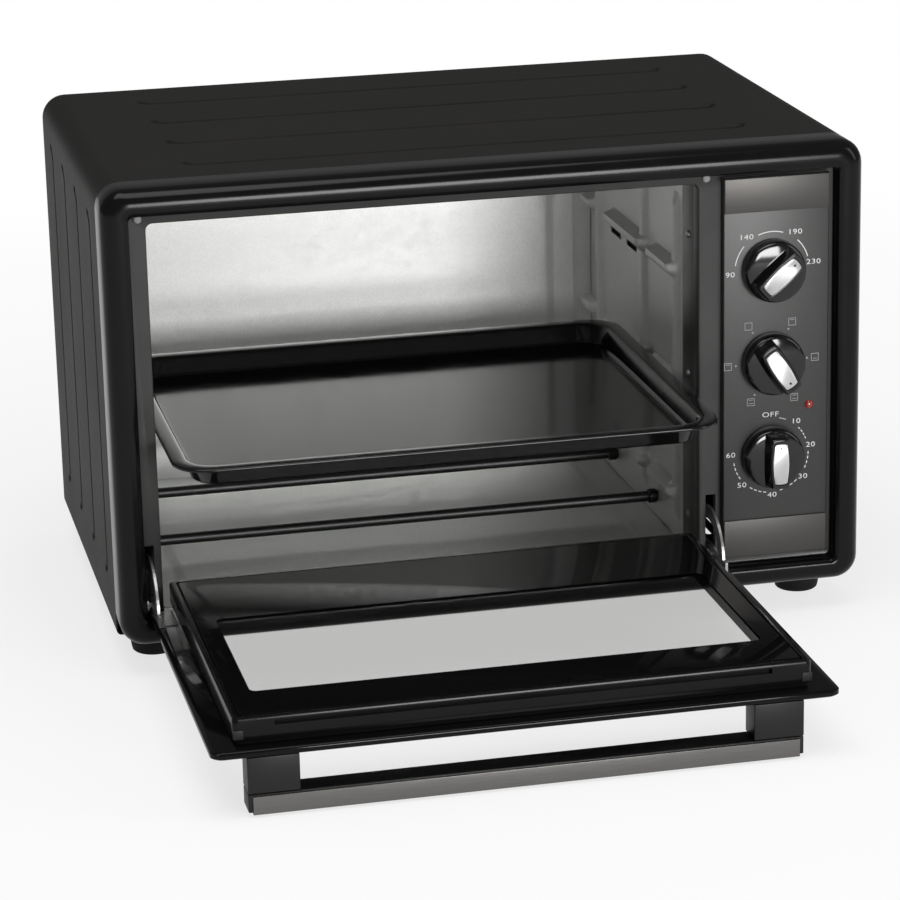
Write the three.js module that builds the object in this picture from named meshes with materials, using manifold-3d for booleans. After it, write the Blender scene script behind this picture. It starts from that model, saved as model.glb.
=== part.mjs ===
// Countertop toaster oven in millimetres, +Z up, front towards -Y.
// The door is open, the baking tray is drawn part way out, and the knobs are turned.
// Inside the assembly Y = 0 is the front flange, and X = 0 is the middle of the body.
import * as THREE from 'three';
import { mergeVertices } from 'three/addons/utils/BufferGeometryUtils.js';
import Module from 'manifold-3d';

const wasm = await Module();
wasm.setup();

// ---- Driving sizes ----
const bodyWidth = 440;
const bodyHeight = 265.5;
const bodyDepth = 258;           // the wrap, from the bezel's seam to its rear edge
const footHeight = 18;
const footRadius = 13;
const footInset = 22;
const sheet = 1;                 // wrap, base and rear cover
const liner = 0.8;               // cavity sheets
const seat = 0.3;                // clearance between pieces that touch
const wrapCornerRadius = 14;
const bottomLip = 12;            // wrap's turned-in lower edge

const bezelWidth = 15.5;         // sides and top of the front frame
const bezelBottom = 13.5;
const bezelProud = 12;           // crest in front of the flange
const bezelBack = 14;            // frame's rear edge behind the flange
const bezelWall = 3;
const flangeThickness = 2;
const recessRadius = 3;

const panelWidth = 63.5;
const panelDepth = 6;
const panelWall = 2;
const panelMargin = 4;           // from the bezel to the panel's edge
const upperTrimHeight = 20.5;
const lowerTrimHeight = 23;
const trimThickness = 0.6;

const hingeRise = 7.5;           // hinge axis above the bezel's lower bar
const doorThickness = 4;
const doorGap = 2;               // closed door to flange
const doorEdgeGap = 1.5;
const plugHeight = 15;           // inner frame above the outer panel
const plugWall = 10;
const paneThickness = 1.6;
const mouthSideBorder = 10.6;
const mouthTopBorder = 6.4;
const mouthPanelBorder = 13.2;
const mouthSill = 2;             // flange left above the bezel's lower bar
const plugClearance = 3.6;

const linerOutset = 3.1;         // cavity wall outside the mouth's edge
const backSpace = 8.5;           // back wall to the rear edge of the wrap
const runnerStretches = [[0.18, 0.39], [0.43, 0.755], [0.855, 0.98]];   // shares of the depth
const ventSlot = { length: 23, height: 4, starts: [0.54, 0.68] };     // in the right wall
const runnerReach = 8;
const runnerHeight = 12;
const runnerBelowElement = 48;   // top runner below the upper element
const lowestRunner = 66;
const runnerCount = 3;
const trayRunner = 1;            // the runner that carries the tray, counted from 0
const rimClearance = 2.3;
const trayHeight = 14;
const traySlope = 7;             // how far the walls lean in
const trayThickness = 1;
const trayOut = 80;              // how far it is drawn out
const trayRimWidth = 9;
const rimDrop = 1.9;              // depth of the rolled rim

const elementRadius = 3.2;
const elementInset = 14;         // element above the floor and below the roof
const elementPlaces = [0.33, 0.68];   // shares of the cavity's depth

const knobRadius = 18.5;
const knobHeight = 19;
const knobShares = [0.7593, 0.5164, 0.2691];   // heights up the panel, as shares of it
const knobTurns = [49, 147, 0];       // clockwise from straight up, in degrees
const knobOffset = -2.7;              // knob axis from the panel's middle
const gripHalf = { width: 5, length: 14.5 };   // knob's grip bar at its end
const gripBulge = 1;
const shaftRadius = 3;
const shaftClearance = 0.2;
const lensRadius = 2.6;

const armThickness = 1.5;
const armInner = 21;
const armOuter = 29;
const pinRadius = 1.75;
const hubRadius = 5;

const handleSpan = 298.5;
const handlePostWidth = 27.5;
const handlePostDepth = 16;
const handleDrop = 32;
const gripHeight = 10;
const gripStripThickness = 0.8;

// ---- Places worked out from the sizes ----
const left = -bodyWidth / 2;
const right = bodyWidth / 2;
const bottom = footHeight;
const top = footHeight + bodyHeight;
const seamY = bezelBack + seat;
const rearY = bezelBack + bodyDepth;
const recess = {
  x: [left + bezelWidth, right - bezelWidth],
  z: [bottom + bezelBottom, top - bezelWidth],
};
const panelX = [recess.x[1] - panelMargin - panelWidth, recess.x[1] - panelMargin];
const panelZ = [recess.z[0] + 5, recess.z[1] - 3];
const hingeZ = recess.z[0] + hingeRise;
const mouth = {
  x: [recess.x[0] + mouthSideBorder, panelX[0] - mouthPanelBorder],
  z: [recess.z[0] + mouthSill, recess.z[1] - mouthTopBorder],
};
const mouthMiddle = (mouth.x[0] + mouth.x[1]) / 2;
const mouthHalf = (mouth.x[1] - mouth.x[0]) / 2;
const wallHalf = mouthHalf + linerOutset;
const backWallY = rearY - backSpace;
const floorZ = [mouth.z[0] - 4, mouth.z[0] - 4 + liner];
const roofZ = [mouth.z[1] + 4.4, mouth.z[1] + 4.4 + liner];
const topRunner = roofZ[0] - elementInset - runnerBelowElement;
const runnerPitch = (topRunner - lowestRunner) / (runnerCount - 1);
const trayRimZ = lowestRunner + trayRunner * runnerPitch + seat + rimDrop;
const plugDepth = plugHeight - doorGap;
const trayWidth = 2 * (mouthHalf - rimClearance);
const trayDepth = backWallY - plugDepth - 4.5;
const trayHomeY = plugDepth + 2.5;
const elementY = elementPlaces.map((share) => share * backWallY + 12);
const elementZ = [floorZ[1] + elementInset, roofZ[0] - elementInset];
const knobX = (panelX[0] + panelX[1]) / 2 + knobOffset;
const knobZ = knobShares.map((share) => panelZ[0] + share * (panelZ[1] - panelZ[0]));
const lens = { x: knobX + 23, z: knobZ[2] + 29 };
const coverY = [rearY - 3, rearY - 3 + sheet];
const screwPlaces = [-1, 1].flatMap((side) => [bottom + 26, top - 30].map((z) => [side * (right - 9), z]));
const gland = { x: right - 42, z: bottom + 32, radius: 7, reach: 4 };

// ---- Materials ----
const finish = (color, roughness, metalness = 0) =>
  new THREE.MeshStandardMaterial({ color, roughness, metalness });
const wrapPaint = finish(0x1b1b1c, 0.55);
const bezelGloss = finish(0x101011, 0.25);
const galvanised = finish(0xa9abab, 0.38, 0.9);
const panelPlastic = finish(0x3a3a3c, 0.5);
const trimMetal = finish(0x2b2826, 0.45, 0.6);
const glossBlack = finish(0x0c0c0d, 0.15);
const satinSilver = finish(0xc4c5c6, 0.3, 0.9);
const brushedSteel = finish(0xb9b6b1, 0.32, 1);
const plainSteel = finish(0x8f9092, 0.4, 0.9);
const moulding = finish(0x18181a, 0.5);
const darkGlass = finish(0x141517, 0.08);
const elementSteel = finish(0x4a4846, 0.45, 0.7);
const rubber = finish(0x121212, 0.8);
const paleRubber = finish(0xb4b4b0, 0.6);
const redLens = finish(0xb01208, 0.2);
const enamel = finish(0x0b0b0c, 0.12);
const switchPlastic = finish(0xd8d2c4, 0.6);

// ---- Geometry helpers ----
function toSolid(geometry) {
  const bare = new THREE.BufferGeometry();
  bare.setAttribute('position', geometry.getAttribute('position').clone());
  if (geometry.index) bare.setIndex(geometry.index.clone());
  const merged = mergeVertices(bare, 1e-4);
  return new wasm.Manifold(new wasm.Mesh({
    numProp: 3,
    vertProperties: new Float32Array(merged.getAttribute('position').array),
    triVerts: new Uint32Array(merged.index.array),
  }));
}

function toGeometry(solid) {
  const mesh = solid.getMesh();
  const geometry = new THREE.BufferGeometry();
  geometry.setAttribute('position', new THREE.BufferAttribute(mesh.vertProperties, 3));
  geometry.setIndex(new THREE.BufferAttribute(mesh.triVerts, 1));
  geometry.computeVertexNormals();
  return geometry;
}

const span = (a, b) => [Math.min(a, b), Math.max(a, b)];
const middle = ([a, b]) => (a + b) / 2;
const grow = ([a, b], by) => [a - by, b + by];

function block(x, y, z) {
  const geometry = new THREE.BoxGeometry(x[1] - x[0], y[1] - y[0], z[1] - z[0]);
  return toSolid(geometry.translate(middle(x), middle(y), middle(z)));
}

function roundedRect(u, v, radius) {
  const quarter = Math.PI / 2;
  const shape = new THREE.Shape();
  shape.absarc(u[1] - radius, v[0] + radius, radius, -quarter, 0);
  shape.absarc(u[1] - radius, v[1] - radius, radius, 0, quarter);
  shape.absarc(u[0] + radius, v[1] - radius, radius, quarter, 2 * quarter);
  shape.absarc(u[0] + radius, v[0] + radius, radius, 2 * quarter, 3 * quarter);
  return shape;
}

function extrusion(shape, range, bevel = 0, segments = 6) {
  const settings = { depth: range[1] - range[0], curveSegments: segments, bevelEnabled: bevel > 0 };
  if (bevel > 0) {
    settings.depth -= 2 * bevel;
    Object.assign(settings, { bevelThickness: bevel, bevelSize: bevel, bevelOffset: -bevel, bevelSegments: 2 });
  }
  return new THREE.ExtrudeGeometry(shape, settings).translate(0, 0, bevel);
}

// An outline in (y, z) swept along X, in (x, z) along Y, or in (x, y) along Z.
const alongX = (shape, x, bevel, segments) => toSolid(extrusion(shape, x, bevel, segments)
  .rotateX(Math.PI / 2).rotateZ(Math.PI / 2).translate(x[0], 0, 0));
const alongY = (shape, y, bevel, segments) => toSolid(extrusion(shape, y, bevel, segments)
  .rotateX(Math.PI / 2).translate(0, y[1], 0));
const alongZ = (shape, z, bevel, segments) => toSolid(extrusion(shape, z, bevel, segments)
  .translate(0, 0, z[0]));

function rod(axis, radius, [from, to], [p, q], segments = 24, startRadius = radius) {
  const geometry = new THREE.CylinderGeometry(radius, startRadius, to - from, segments);
  const centre = (from + to) / 2;
  if (axis === 'x') geometry.rotateZ(-Math.PI / 2).translate(centre, p, q);
  if (axis === 'y') geometry.translate(p, centre, q);
  if (axis === 'z') geometry.rotateX(Math.PI / 2).translate(p, q, centre);
  return toSolid(geometry);
}

// A closed turned body: the profile lists [radius, place along the axis] from axis to axis.
const turned = (profile, segments = 24) =>
  toSolid(new THREE.LatheGeometry(profile.map(([r, a]) => new THREE.Vector2(r, a)), segments));

// A pressed pan: a stack of rounded rectangles that goes up the outside and down the inside.
function pressedPan(width, depth, rings, cornerSegments = 4) {
  const outline = ({ inset, z, radius }) => {
    const shape = roundedRect([inset, width - inset], [inset, depth - inset], radius);
    return shape.getPoints(cornerSegments).map((point) => [point.x - width / 2, point.y, z]);
  };
  const stack = rings.map(outline);
  const count = stack[0].length;
  const triangles = [];
  for (let ring = 0; ring + 1 < stack.length; ring++) {
    for (let i = 0; i < count; i++) {
      const a = ring * count + i;
      const b = ring * count + (i + 1) % count;
      triangles.push(a, b, b + count, a, b + count, a + count);
    }
  }
  const last = (stack.length - 1) * count;
  for (let i = 1; i + 1 < count; i++) {
    triangles.push(0, i + 1, i, last, last + i, last + i + 1);
  }
  const geometry = new THREE.BufferGeometry();
  geometry.setAttribute('position', new THREE.Float32BufferAttribute(stack.flat(2), 3));
  geometry.setIndex(triangles);
  return toSolid(geometry);
}

function piece(name, solid, material) {
  const mesh = new THREE.Mesh(toGeometry(solid), material);
  mesh.name = name;
  return mesh;
}

// ---- Housing ----
function outerWrap() {
  const outline = (inset) => {
    const radius = wrapCornerRadius - inset;
    const small = 3;
    const shape = new THREE.Shape();
    shape.moveTo(left + inset, bottom + inset + small);
    shape.absarc(left + inset + small, bottom + inset + small, small, Math.PI, 1.5 * Math.PI);
    shape.absarc(right - inset - small, bottom + inset + small, small, -Math.PI / 2, 0);
    shape.absarc(right - inset - radius, top - inset - radius, radius, 0, Math.PI / 2);
    shape.absarc(left + inset + radius, top - inset - radius, radius, Math.PI / 2, Math.PI);
    return shape;
  };
  let wrap = alongY(outline(0), [seamY, rearY]).subtract(alongY(outline(sheet), grow([seamY, rearY], 1)));
  wrap = wrap.subtract(block(grow([left, right], -bottomLip), grow([seamY, rearY], 1), [bottom - 1, bottom + 5]));
  for (const [x, z] of screwPlaces) {
    const lugX = x < 0 ? [left + sheet / 2, x + 6] : [x - 6, right - sheet / 2];
    const lugY = [coverY[0] - seat - sheet, coverY[0] - seat];
    wrap = wrap.add(block(lugX, lugY, [z - 6, z + 6]));
    wrap = wrap.subtract(rod('y', 2, grow(lugY, 1), [x, z], 12));
  }
  return piece('outer_wrap', wrap, wrapPaint);
}

function rearCover() {
  const inset = sheet + seat;
  const shape = roundedRect([left + inset, right - inset], [bottom + sheet + seat, top - inset], 12);
  let cover = alongY(shape, coverY);
  for (const [x, z] of screwPlaces) {
    cover = cover.subtract(rod('y', 2, grow(coverY, 1), [x, z], 12));
  }
  cover = cover.subtract(rod('y', gland.radius + seat, grow(coverY, 1), [gland.x, gland.z]));
  const slotLength = 44;
  const slotPitch = 11;
  const slotCount = 7;
  for (let i = 0; i < slotCount; i++) {
    const z = top - 60 - i * slotPitch;
    const slot = roundedRect([right - 20 - slotLength, right - 20], [z - 2, z + 2], 1.9);
    cover = cover.subtract(alongY(slot, grow(coverY, 1), 0, 2));
  }
  return piece('rear_cover', cover, wrapPaint);
}

function basePlate() {
  const edge = bottomLip + seat;
  let base = block([left + edge, right - edge], [seamY, coverY[0] - seat], [bottom, bottom + sheet]);
  for (let i = 0; i < 6; i++) {
    const x = panelX[0] + 12 + i * 9;
    const slot = roundedRect([x - 2, x + 2], [90, 140], 1.9);
    base = base.subtract(alongZ(slot, grow([bottom, bottom + sheet], 1), 0, 2));
  }
  return piece('base_plate', base, wrapPaint);
}

function frontFrame() {
  const frameX = [left, right];
  const frameZ = [bottom, top];
  const behind = bezelBack + 8;
  const past = 1;
  let frame = alongY(roundedRect(frameX, frameZ, wrapCornerRadius), [-bezelProud, behind], 4, 8);
  frame = frame.subtract(block(grow(frameX, past), [bezelBack, behind + past], grow(frameZ, past)));
  frame = frame.subtract(alongY(roundedRect(recess.x, recess.z, recessRadius), [-bezelProud - past, 0]));
  const inside = roundedRect(grow(frameX, -bezelWall), grow(frameZ, -bezelWall), wrapCornerRadius - bezelWall);
  frame = frame.subtract(alongY(inside, [flangeThickness, behind]));
  const channel = alongY(inside, [bezelWall - bezelProud, flangeThickness + past]).subtract(
    alongY(roundedRect(grow(recess.x, bezelWall), grow(recess.z, bezelWall), recessRadius + bezelWall),
      [-bezelProud, flangeThickness + 2]));
  frame = frame.subtract(channel);
  const through = [-past, flangeThickness + past];
  frame = frame.subtract(alongY(roundedRect(mouth.x, mouth.z, 3), through));
  for (const z of knobZ) frame = frame.subtract(rod('y', 6.5, through, [knobX, z]));
  frame = frame.subtract(rod('y', lensRadius + 1, through, [lens.x, lens.z]));
  for (const side of [-1, 1]) {
    const pocketX = span(mouthMiddle + side * pocket.inner, mouthMiddle + side * pocket.outer);
    frame = frame.subtract(block(pocketX, through, [hingeZ - 7, hingeZ + 36]));
  }
  return piece('front_frame', frame, bezelGloss);
}

function footPiece(name, x, y) {
  const foot = rod('z', footRadius, [0, bottom - seat], [0, 0], 24, footRadius - 2);
  const mesh = piece(name, foot, rubber);
  mesh.position.set(x, y, 0);
  return mesh;
}

function feet() {
  const places = { left: left + footInset, right: right - footInset };
  const rows = { front: bezelBack + footInset, rear: rearY - footInset - 4 };
  return Object.entries(rows).flatMap(([row, y]) =>
    Object.entries(places).map(([side, x]) => footPiece(`foot_${row}_${side}`, x, y)));
}

function rearScrews() {
  return screwPlaces.map(([x, z], i) => {
    const head = rod('y', 3.4, [coverY[1] + seat, coverY[1] + seat + 1.6], [0, 0], 12);
    const shank = rod('y', 1.6, [coverY[0] - 5, coverY[1] + seat + 0.5], [0, 0], 10);
    const screw = piece(`rear_screw_${i + 1}`, head.add(shank), plainSteel);
    screw.position.set(x, 0, z);
    return screw;
  });
}

function cordGland() {
  const { radius, reach } = gland;
  const bore = 3.4;
  const profile = [
    [bore, coverY[0] - 4], [radius + 3, coverY[0] - 4], [radius + 3, coverY[0] - seat],
    [radius, coverY[0] - seat], [radius, coverY[1] + seat], [radius + 3, coverY[1] + seat],
    [radius + 2, rearY + reach - 1.5], [bore + 1.6, rearY + reach], [bore, rearY + reach],
    [bore, coverY[0] - 4],
  ];
  const mesh = piece('cord_gland', turned(profile, 20), rubber);
  mesh.position.set(gland.x, 0, gland.z);
  return mesh;
}

// ---- Oven cavity ----
function cavityWall(name, side) {
  const inner = mouthMiddle + side * wallHalf;
  const wallX = span(inner, inner + side * liner);
  const y = [flangeThickness + seat, backWallY - seat];
  let wall = block(wallX, y, [floorZ[1] + seat, roofZ[0] - seat]);
  const runnerX = span(inner + side * liner / 2, inner - side * runnerReach);
  for (let level = 0; level < runnerCount; level++) {
    const z = lowestRunner + level * runnerPitch;
    for (const [from, to] of runnerStretches) {
      wall = wall.add(block(runnerX, [from * backWallY, to * backWallY], [z - runnerHeight, z]));
    }
  }
  for (const y0 of elementY) {
    for (const z of elementZ) wall = wall.subtract(rod('x', elementRadius + seat, grow(wallX, 1), [y0, z], 16));
  }
  if (side > 0) {
    const slotTop = lowestRunner + (runnerCount - 1) * runnerPitch - runnerHeight - 1;
    for (const share of ventSlot.starts) {
      const slotY = [share * backWallY, share * backWallY + ventSlot.length];
      wall = wall.subtract(block(grow(wallX, 1), slotY, [slotTop - ventSlot.height, slotTop]));
    }
  }
  const tabX = span(inner + side * liner / 2, mouthMiddle + side * (arm.outer + 0.6));
  wall = wall.add(block(tabX, [springEnd.y + 0.6, springEnd.y + 1.8], [springEnd.z - 4, springEnd.z + 4]));
  return piece(name, wall, galvanised);
}

function cavitySheets() {
  const x = grow([mouthMiddle, mouthMiddle], wallHalf + liner);
  const y = [flangeThickness + seat, backWallY - seat];
  const back = block(x, [backWallY, backWallY + liner], [floorZ[0], roofZ[1]]);
  return [
    piece('cavity_roof', block(x, y, roofZ), galvanised),
    piece('cavity_floor', block(x, y, floorZ), galvanised),
    piece('cavity_back_wall', back, galvanised),
    cavityWall('cavity_left_wall', -1),
    cavityWall('cavity_right_wall', 1),
  ];
}

function heatingElements() {
  const names = [['lower_front', 'upper_front'], ['lower_rear', 'upper_rear']];
  const end = 6;
  const collar = 5;
  const collarStart = wallHalf - seat;
  return elementY.flatMap((y, row) => elementZ.map((z, level) => {
    const half = wallHalf + liner + end;
    const profile = [
      [0, -half], [elementRadius, -half], [elementRadius, -collarStart],
      [elementRadius + 1.2, -collarStart], [elementRadius + 1.2, collar - collarStart],
      [elementRadius, collar - collarStart], [elementRadius, collarStart - collar],
      [elementRadius + 1.2, collarStart - collar], [elementRadius + 1.2, collarStart],
      [elementRadius, collarStart], [elementRadius, half], [0, half],
    ];
    const mesh = piece(`${names[row][level]}_element`, turned(profile, 16), elementSteel);
    mesh.rotation.z = -Math.PI / 2;
    mesh.position.set(mouthMiddle, y, z);
    return mesh;
  }));
}

// ---- Door hinges, fixed half ----
const pocket = { inner: wallHalf + liner + seat, outer: mouthSideBorder + mouthHalf - seat };
const arm = { inner: pocket.inner + 1.8, outer: pocket.inner + 1.8 + armThickness };
const holderPlate = { inner: pocket.outer - 1.5, outer: pocket.outer - 0.3 };
const springEnd = { y: 76, z: hingeZ + 22 };

function hingeHolder(name, side) {
  const at = (near, far) => span(mouthMiddle + side * near, mouthMiddle + side * far);
  const plateX = at(holderPlate.inner, holderPlate.outer);
  const web = armOuter + 3;
  const ear = rod('x', 4, plateX, [0, hingeZ]);
  const strap = block(plateX, [0, web + 1.2], [hingeZ - 4, hingeZ + 4]);
  const step = block(at(pocket.inner, holderPlate.outer), [web, web + 1.2], [hingeZ - 4, hingeZ + 4]);
  const foot = block(at(pocket.inner, pocket.inner + 1.2), [web, web + 16], [hingeZ - 8, hingeZ + 12]);
  const hole = rod('x', pinRadius + 0.2, grow(plateX, 1), [0, hingeZ], 16);
  return piece(name, ear.add(strap).add(step).add(foot).subtract(hole), plainSteel);
}

function hingePin(name, side) {
  const at = (near, far) => span(mouthMiddle + side * near, mouthMiddle + side * far);
  const shank = rod('x', pinRadius, at(pocket.inner + 0.6, holderPlate.outer), [0, hingeZ], 16);
  const head = rod('x', 3.2, at(pocket.inner + 0.5, arm.inner - seat), [0, hingeZ], 16);
  return piece(name, shank.add(head), plainSteel);
}

class Helix extends THREE.Curve {
  constructor(length, radius, turns) {
    super();
    Object.assign(this, { length, radius, turns });
  }

  getPoint(t, target = new THREE.Vector3()) {
    const angle = 2 * Math.PI * this.turns * t;
    return target.set(this.radius * Math.cos(angle), t * this.length, this.radius * Math.sin(angle));
  }
}

function hingeSpring(name, side) {
  const wire = new THREE.Shape().absarc(0, 0, 0.55, 0, 2 * Math.PI);
  const coils = 6;
  const start = 16.5;
  const helix = new Helix(springEnd.y - start, 1.9, coils);
  const settings = { steps: coils * 8, curveSegments: 3, bevelEnabled: false, extrudePath: helix };
  const spring = piece(name, toSolid(new THREE.ExtrudeGeometry(wire, settings)), plainSteel);
  spring.position.set(mouthMiddle + side * (arm.inner + arm.outer) / 2, start, springEnd.z);
  return spring;
}

function hingeFixed() {
  const sides = { left: -1, right: 1 };
  return Object.entries(sides).flatMap(([word, side]) => [
    hingeHolder(`hinge_bracket_${word}`, side),
    hingePin(`hinge_pin_${word}`, side),
    hingeSpring(`hinge_spring_${word}`, side),
  ]);
}

// ---- Door, built about its hinge axis in the open position ----
const doorX = [recess.x[0] + doorEdgeGap, panelX[0] - 2.5];
const doorNear = hingeZ + doorEdgeGap - recess.z[1];
const doorZ = [-doorGap - doorThickness, -doorGap];
const plugX = grow([mouthMiddle, mouthMiddle], mouthHalf - plugClearance);
const plugY = [hingeZ + 2.6 - mouth.z[1], 3];
const plugZ = [doorZ[1] + seat, doorZ[1] + plugHeight];

function doorOuterPanel() {
  let panel = alongZ(roundedRect(doorX, [doorNear, -0.5], 5), doorZ);
  for (const side of [-1, 1]) {
    const notchX = span(mouthMiddle + side * (pocket.inner - 0.5), mouthMiddle + side * (pocket.outer + 20));
    panel = panel.subtract(block(notchX, [-8, 1], grow(doorZ, 1)));
  }
  return piece('door_outer_panel', panel, darkGlass);
}

function doorInnerFrame() {
  let frame = alongZ(roundedRect(plugX, plugY, 3), plugZ);
  const opening = [grow(plugX, -plugWall), grow(plugY, -plugWall)];
  frame = frame.subtract(block(opening[0], opening[1], grow(plugZ, 1)));
  const rebate = [grow(plugX, -4), grow(plugY, -4)];
  frame = frame.subtract(block(rebate[0], rebate[1], [plugZ[1] - paneThickness - seat, plugZ[1] + 1]));
  const slotX = grow(plugX, -22);
  frame = frame.subtract(block(slotX, [plugY[0] - 1, plugY[0] + 2.5], [plugZ[1] - 5.5, plugZ[1] - 3]));
  return piece('door_inner_frame', frame, moulding);
}

function doorInnerPane() {
  const pane = block(grow(plugX, -4 - seat), grow(plugY, -4 - seat), [plugZ[1] - paneThickness, plugZ[1]]);
  return piece('door_inner_pane', pane, darkGlass);
}

function hingeArm(name, side) {
  const at = (near, far) => span(mouthMiddle + side * near, mouthMiddle + side * far);
  const armX = at(arm.inner, arm.outer);
  const spokeEnd = -34;
  const hook = new THREE.Shape();
  const from = THREE.MathUtils.degToRad(60);
  const to = THREE.MathUtils.degToRad(172);
  hook.absarc(0, 0, armOuter, from, to, false);
  hook.absarc(0, 0, armInner, to, from, true);
  let solid = alongX(hook, armX, 0, 10);
  solid = solid.add(rod('x', hubRadius, armX, [0, 0]));
  solid = solid.add(block(armX, [spokeEnd, 0], [-1.2, 4.8]));
  const tabTop = -doorGap + seat + 1.2;
  solid = solid.add(block(at(mouthMiddle - plugX[0] + seat, arm.outer), [spokeEnd, -10], [-doorGap + seat, tabTop]));
  solid = solid.subtract(rod('x', pinRadius + 0.15, grow(armX, 1), [0, 0], 24));
  return piece(name, solid, plainSteel);
}

function handle() {
  const handleLeft = (doorX[0] + doorX[1] - handleSpan) / 2 - 1;
  const bar = [handleLeft, handleLeft + handleSpan];
  const near = doorNear + 0.4;
  const postY = [near + 0.6, near + 0.6 + handlePostDepth];
  const postTop = doorZ[0] - seat;
  const postBottom = doorZ[0] - handleDrop;
  const gripZ = [postBottom + gripStripThickness + seat, postBottom + gripStripThickness + seat + gripHeight];
  const posts = { left: [bar[0], bar[0] + handlePostWidth], right: [bar[1] - handlePostWidth, bar[1]] };
  const pieces = Object.entries(posts).map(([word, x]) =>
    piece(`handle_post_${word}`, alongY(roundedRect(x, [gripZ[1] + seat, postTop], 1.5), postY, 0.8, 3), moulding));
  const gripY = [near + gripStripThickness + seat, postY[1] - 0.5];
  const grip = block(bar, gripY, gripZ);
  const face = block(grow(bar, -0.6), [near, near + gripStripThickness], [postBottom, gripZ[1] - 1]);
  const underside = block(grow(bar, -0.6), [near, gripY[1] - 3], [postBottom, postBottom + gripStripThickness]);
  pieces.push(piece('handle_bar', grip, moulding));
  pieces.push(piece('handle_strip', face.add(underside), brushedSteel));
  return pieces;
}

function door() {
  const group = new THREE.Group();
  group.position.set(0, 0, hingeZ);
  group.add(doorOuterPanel(), doorInnerFrame(), doorInnerPane());
  group.add(hingeArm('hinge_arm_left', -1), hingeArm('hinge_arm_right', 1));
  group.add(...handle());
  return group;
}

// ---- Controls ----
const panelFace = -panelDepth;

function controlPanel() {
  const back = -seat;
  let panel = block(panelX, [panelFace, back], panelZ);
  panel = panel.subtract(block(grow(panelX, -panelWall), [panelFace + panelWall, 1], grow(panelZ, -panelWall)));
  for (const z of knobZ) panel = panel.subtract(rod('y', shaftRadius + 0.6, [panelFace - 1, 1], [knobX, z], 20));
  panel = panel.subtract(rod('y', lensRadius + seat, [panelFace - 1, 1], [lens.x, lens.z], 20));
  return piece('control_panel', panel, panelPlastic);
}

function trimPlates() {
  const y = [panelFace - seat - trimThickness, panelFace - seat];
  const x = grow(panelX, -0.5);
  const upper = block(x, y, [panelZ[1] - upperTrimHeight, panelZ[1] - 0.5]);
  const lower = block(x, y, [panelZ[0] + 0.5, panelZ[0] + lowerTrimHeight]);
  return [piece('upper_trim_plate', upper, trimMetal), piece('lower_trim_plate', lower, trimMetal)];
}

const bracketY = [8, 9.2];
const bushRadius = 5;

function controlBracket() {
  const x = [panelX[0] - 1.5, recess.x[1] + 2];
  const z = grow(panelZ, -6);
  const legY = [flangeThickness + seat, bracketY[1]];
  let bracket = block(x, bracketY, z);
  bracket = bracket.add(block([x[0], x[0] + sheet], legY, z)).add(block([x[1] - sheet, x[1]], legY, z));
  for (const height of knobZ) bracket = bracket.subtract(rod('y', bushRadius + seat, grow(bracketY, 1), [knobX, height]));
  return piece('control_bracket', bracket, plainSteel);
}

function controlBody(name, casing, material) {
  const bush = rod('y', bushRadius, [flangeThickness + 1, bracketY[1] + 2], [0, 0]);
  const bore = rod('y', shaftRadius + shaftClearance, [0, bracketY[1] + 13.5], [0, 0]);
  return piece(name, casing.add(bush).subtract(bore), material);
}

function controls() {
  const start = bracketY[1] + seat;
  const thermostat = block([-17, 17], [start, start + 26], [-14, 14]).add(block([-12, 12], [start + 25, start + 34], [-4, 4]));
  const selector = alongY(roundedRect([-18, 18], [-18, 18], 4), [start, start + 28], 0, 3);
  const timer = rod('y', 22, [start, start + 24], [0, 0]).add(rod('y', 17, [start + 23, start + 32], [0, 0]));
  const bodies = [
    controlBody('thermostat', thermostat, switchPlastic),
    controlBody('function_switch', selector, switchPlastic),
    controlBody('timer', timer, plainSteel),
  ];
  bodies.forEach((body, i) => body.position.set(knobX, 0, knobZ[i]));
  return bodies;
}

// A flat bar outline in (x, z) whose long sides bulge.
function barrel(halfWidth, halfLength, bulge) {
  const shape = new THREE.Shape();
  shape.moveTo(-halfWidth, -halfLength);
  shape.lineTo(halfWidth, -halfLength);
  shape.quadraticCurveTo(halfWidth + 2 * bulge, 0, halfWidth, halfLength);
  shape.lineTo(-halfWidth, halfLength);
  shape.quadraticCurveTo(-halfWidth - 2 * bulge, 0, -halfWidth, -halfLength);
  return shape;
}

function knobSolids() {
  const back = panelFace - trimThickness - seat;
  const front = back - knobHeight;
  const shoulder = back - 9;
  const disc = turned([
    [0, back], [knobRadius, back], [knobRadius, shoulder + 3], [knobRadius - 0.9, shoulder + 0.9],
    [knobRadius - 3, shoulder], [0, shoulder],
  ].reverse(), 32);
  const grip = alongY(barrel(gripHalf.width, gripHalf.length, gripBulge), [front, shoulder + 2], 1, 4);
  const rim = 1.4;
  const insertOutline = (clearance) =>
    barrel(gripHalf.width - rim + clearance, gripHalf.length - rim - 1 + clearance, gripBulge);
  const pocketCut = alongY(insertOutline(seat), [front - 1, front + 1], 0, 4);
  const bore = rod('y', shaftRadius + seat, [back - 12.6, back + 1], [0, 0], 20);
  const knob = disc.add(grip).subtract(pocketCut).subtract(bore);
  const insert = alongY(insertOutline(0), [front - 0.2, front + 0.7], 0, 4);
  const shaft = rod('y', shaftRadius, [back - 12.3, bracketY[1] + 13.2], [0, 0], 20);
  return { knob, insert, shaft };
}

function knobs() {
  const names = ['temperature', 'function', 'timer'];
  const { knob, insert, shaft } = knobSolids();
  return names.map((name, i) => {
    const group = new THREE.Group();
    group.add(piece(`${name}_knob`, knob, glossBlack));
    group.add(piece(`${name}_knob_insert`, insert, satinSilver));
    group.add(piece(`${name}_shaft`, shaft, plainSteel));
    group.position.set(knobX, 0, knobZ[i]);
    group.rotation.y = THREE.MathUtils.degToRad(knobTurns[i]);
    return group;
  });
}

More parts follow.
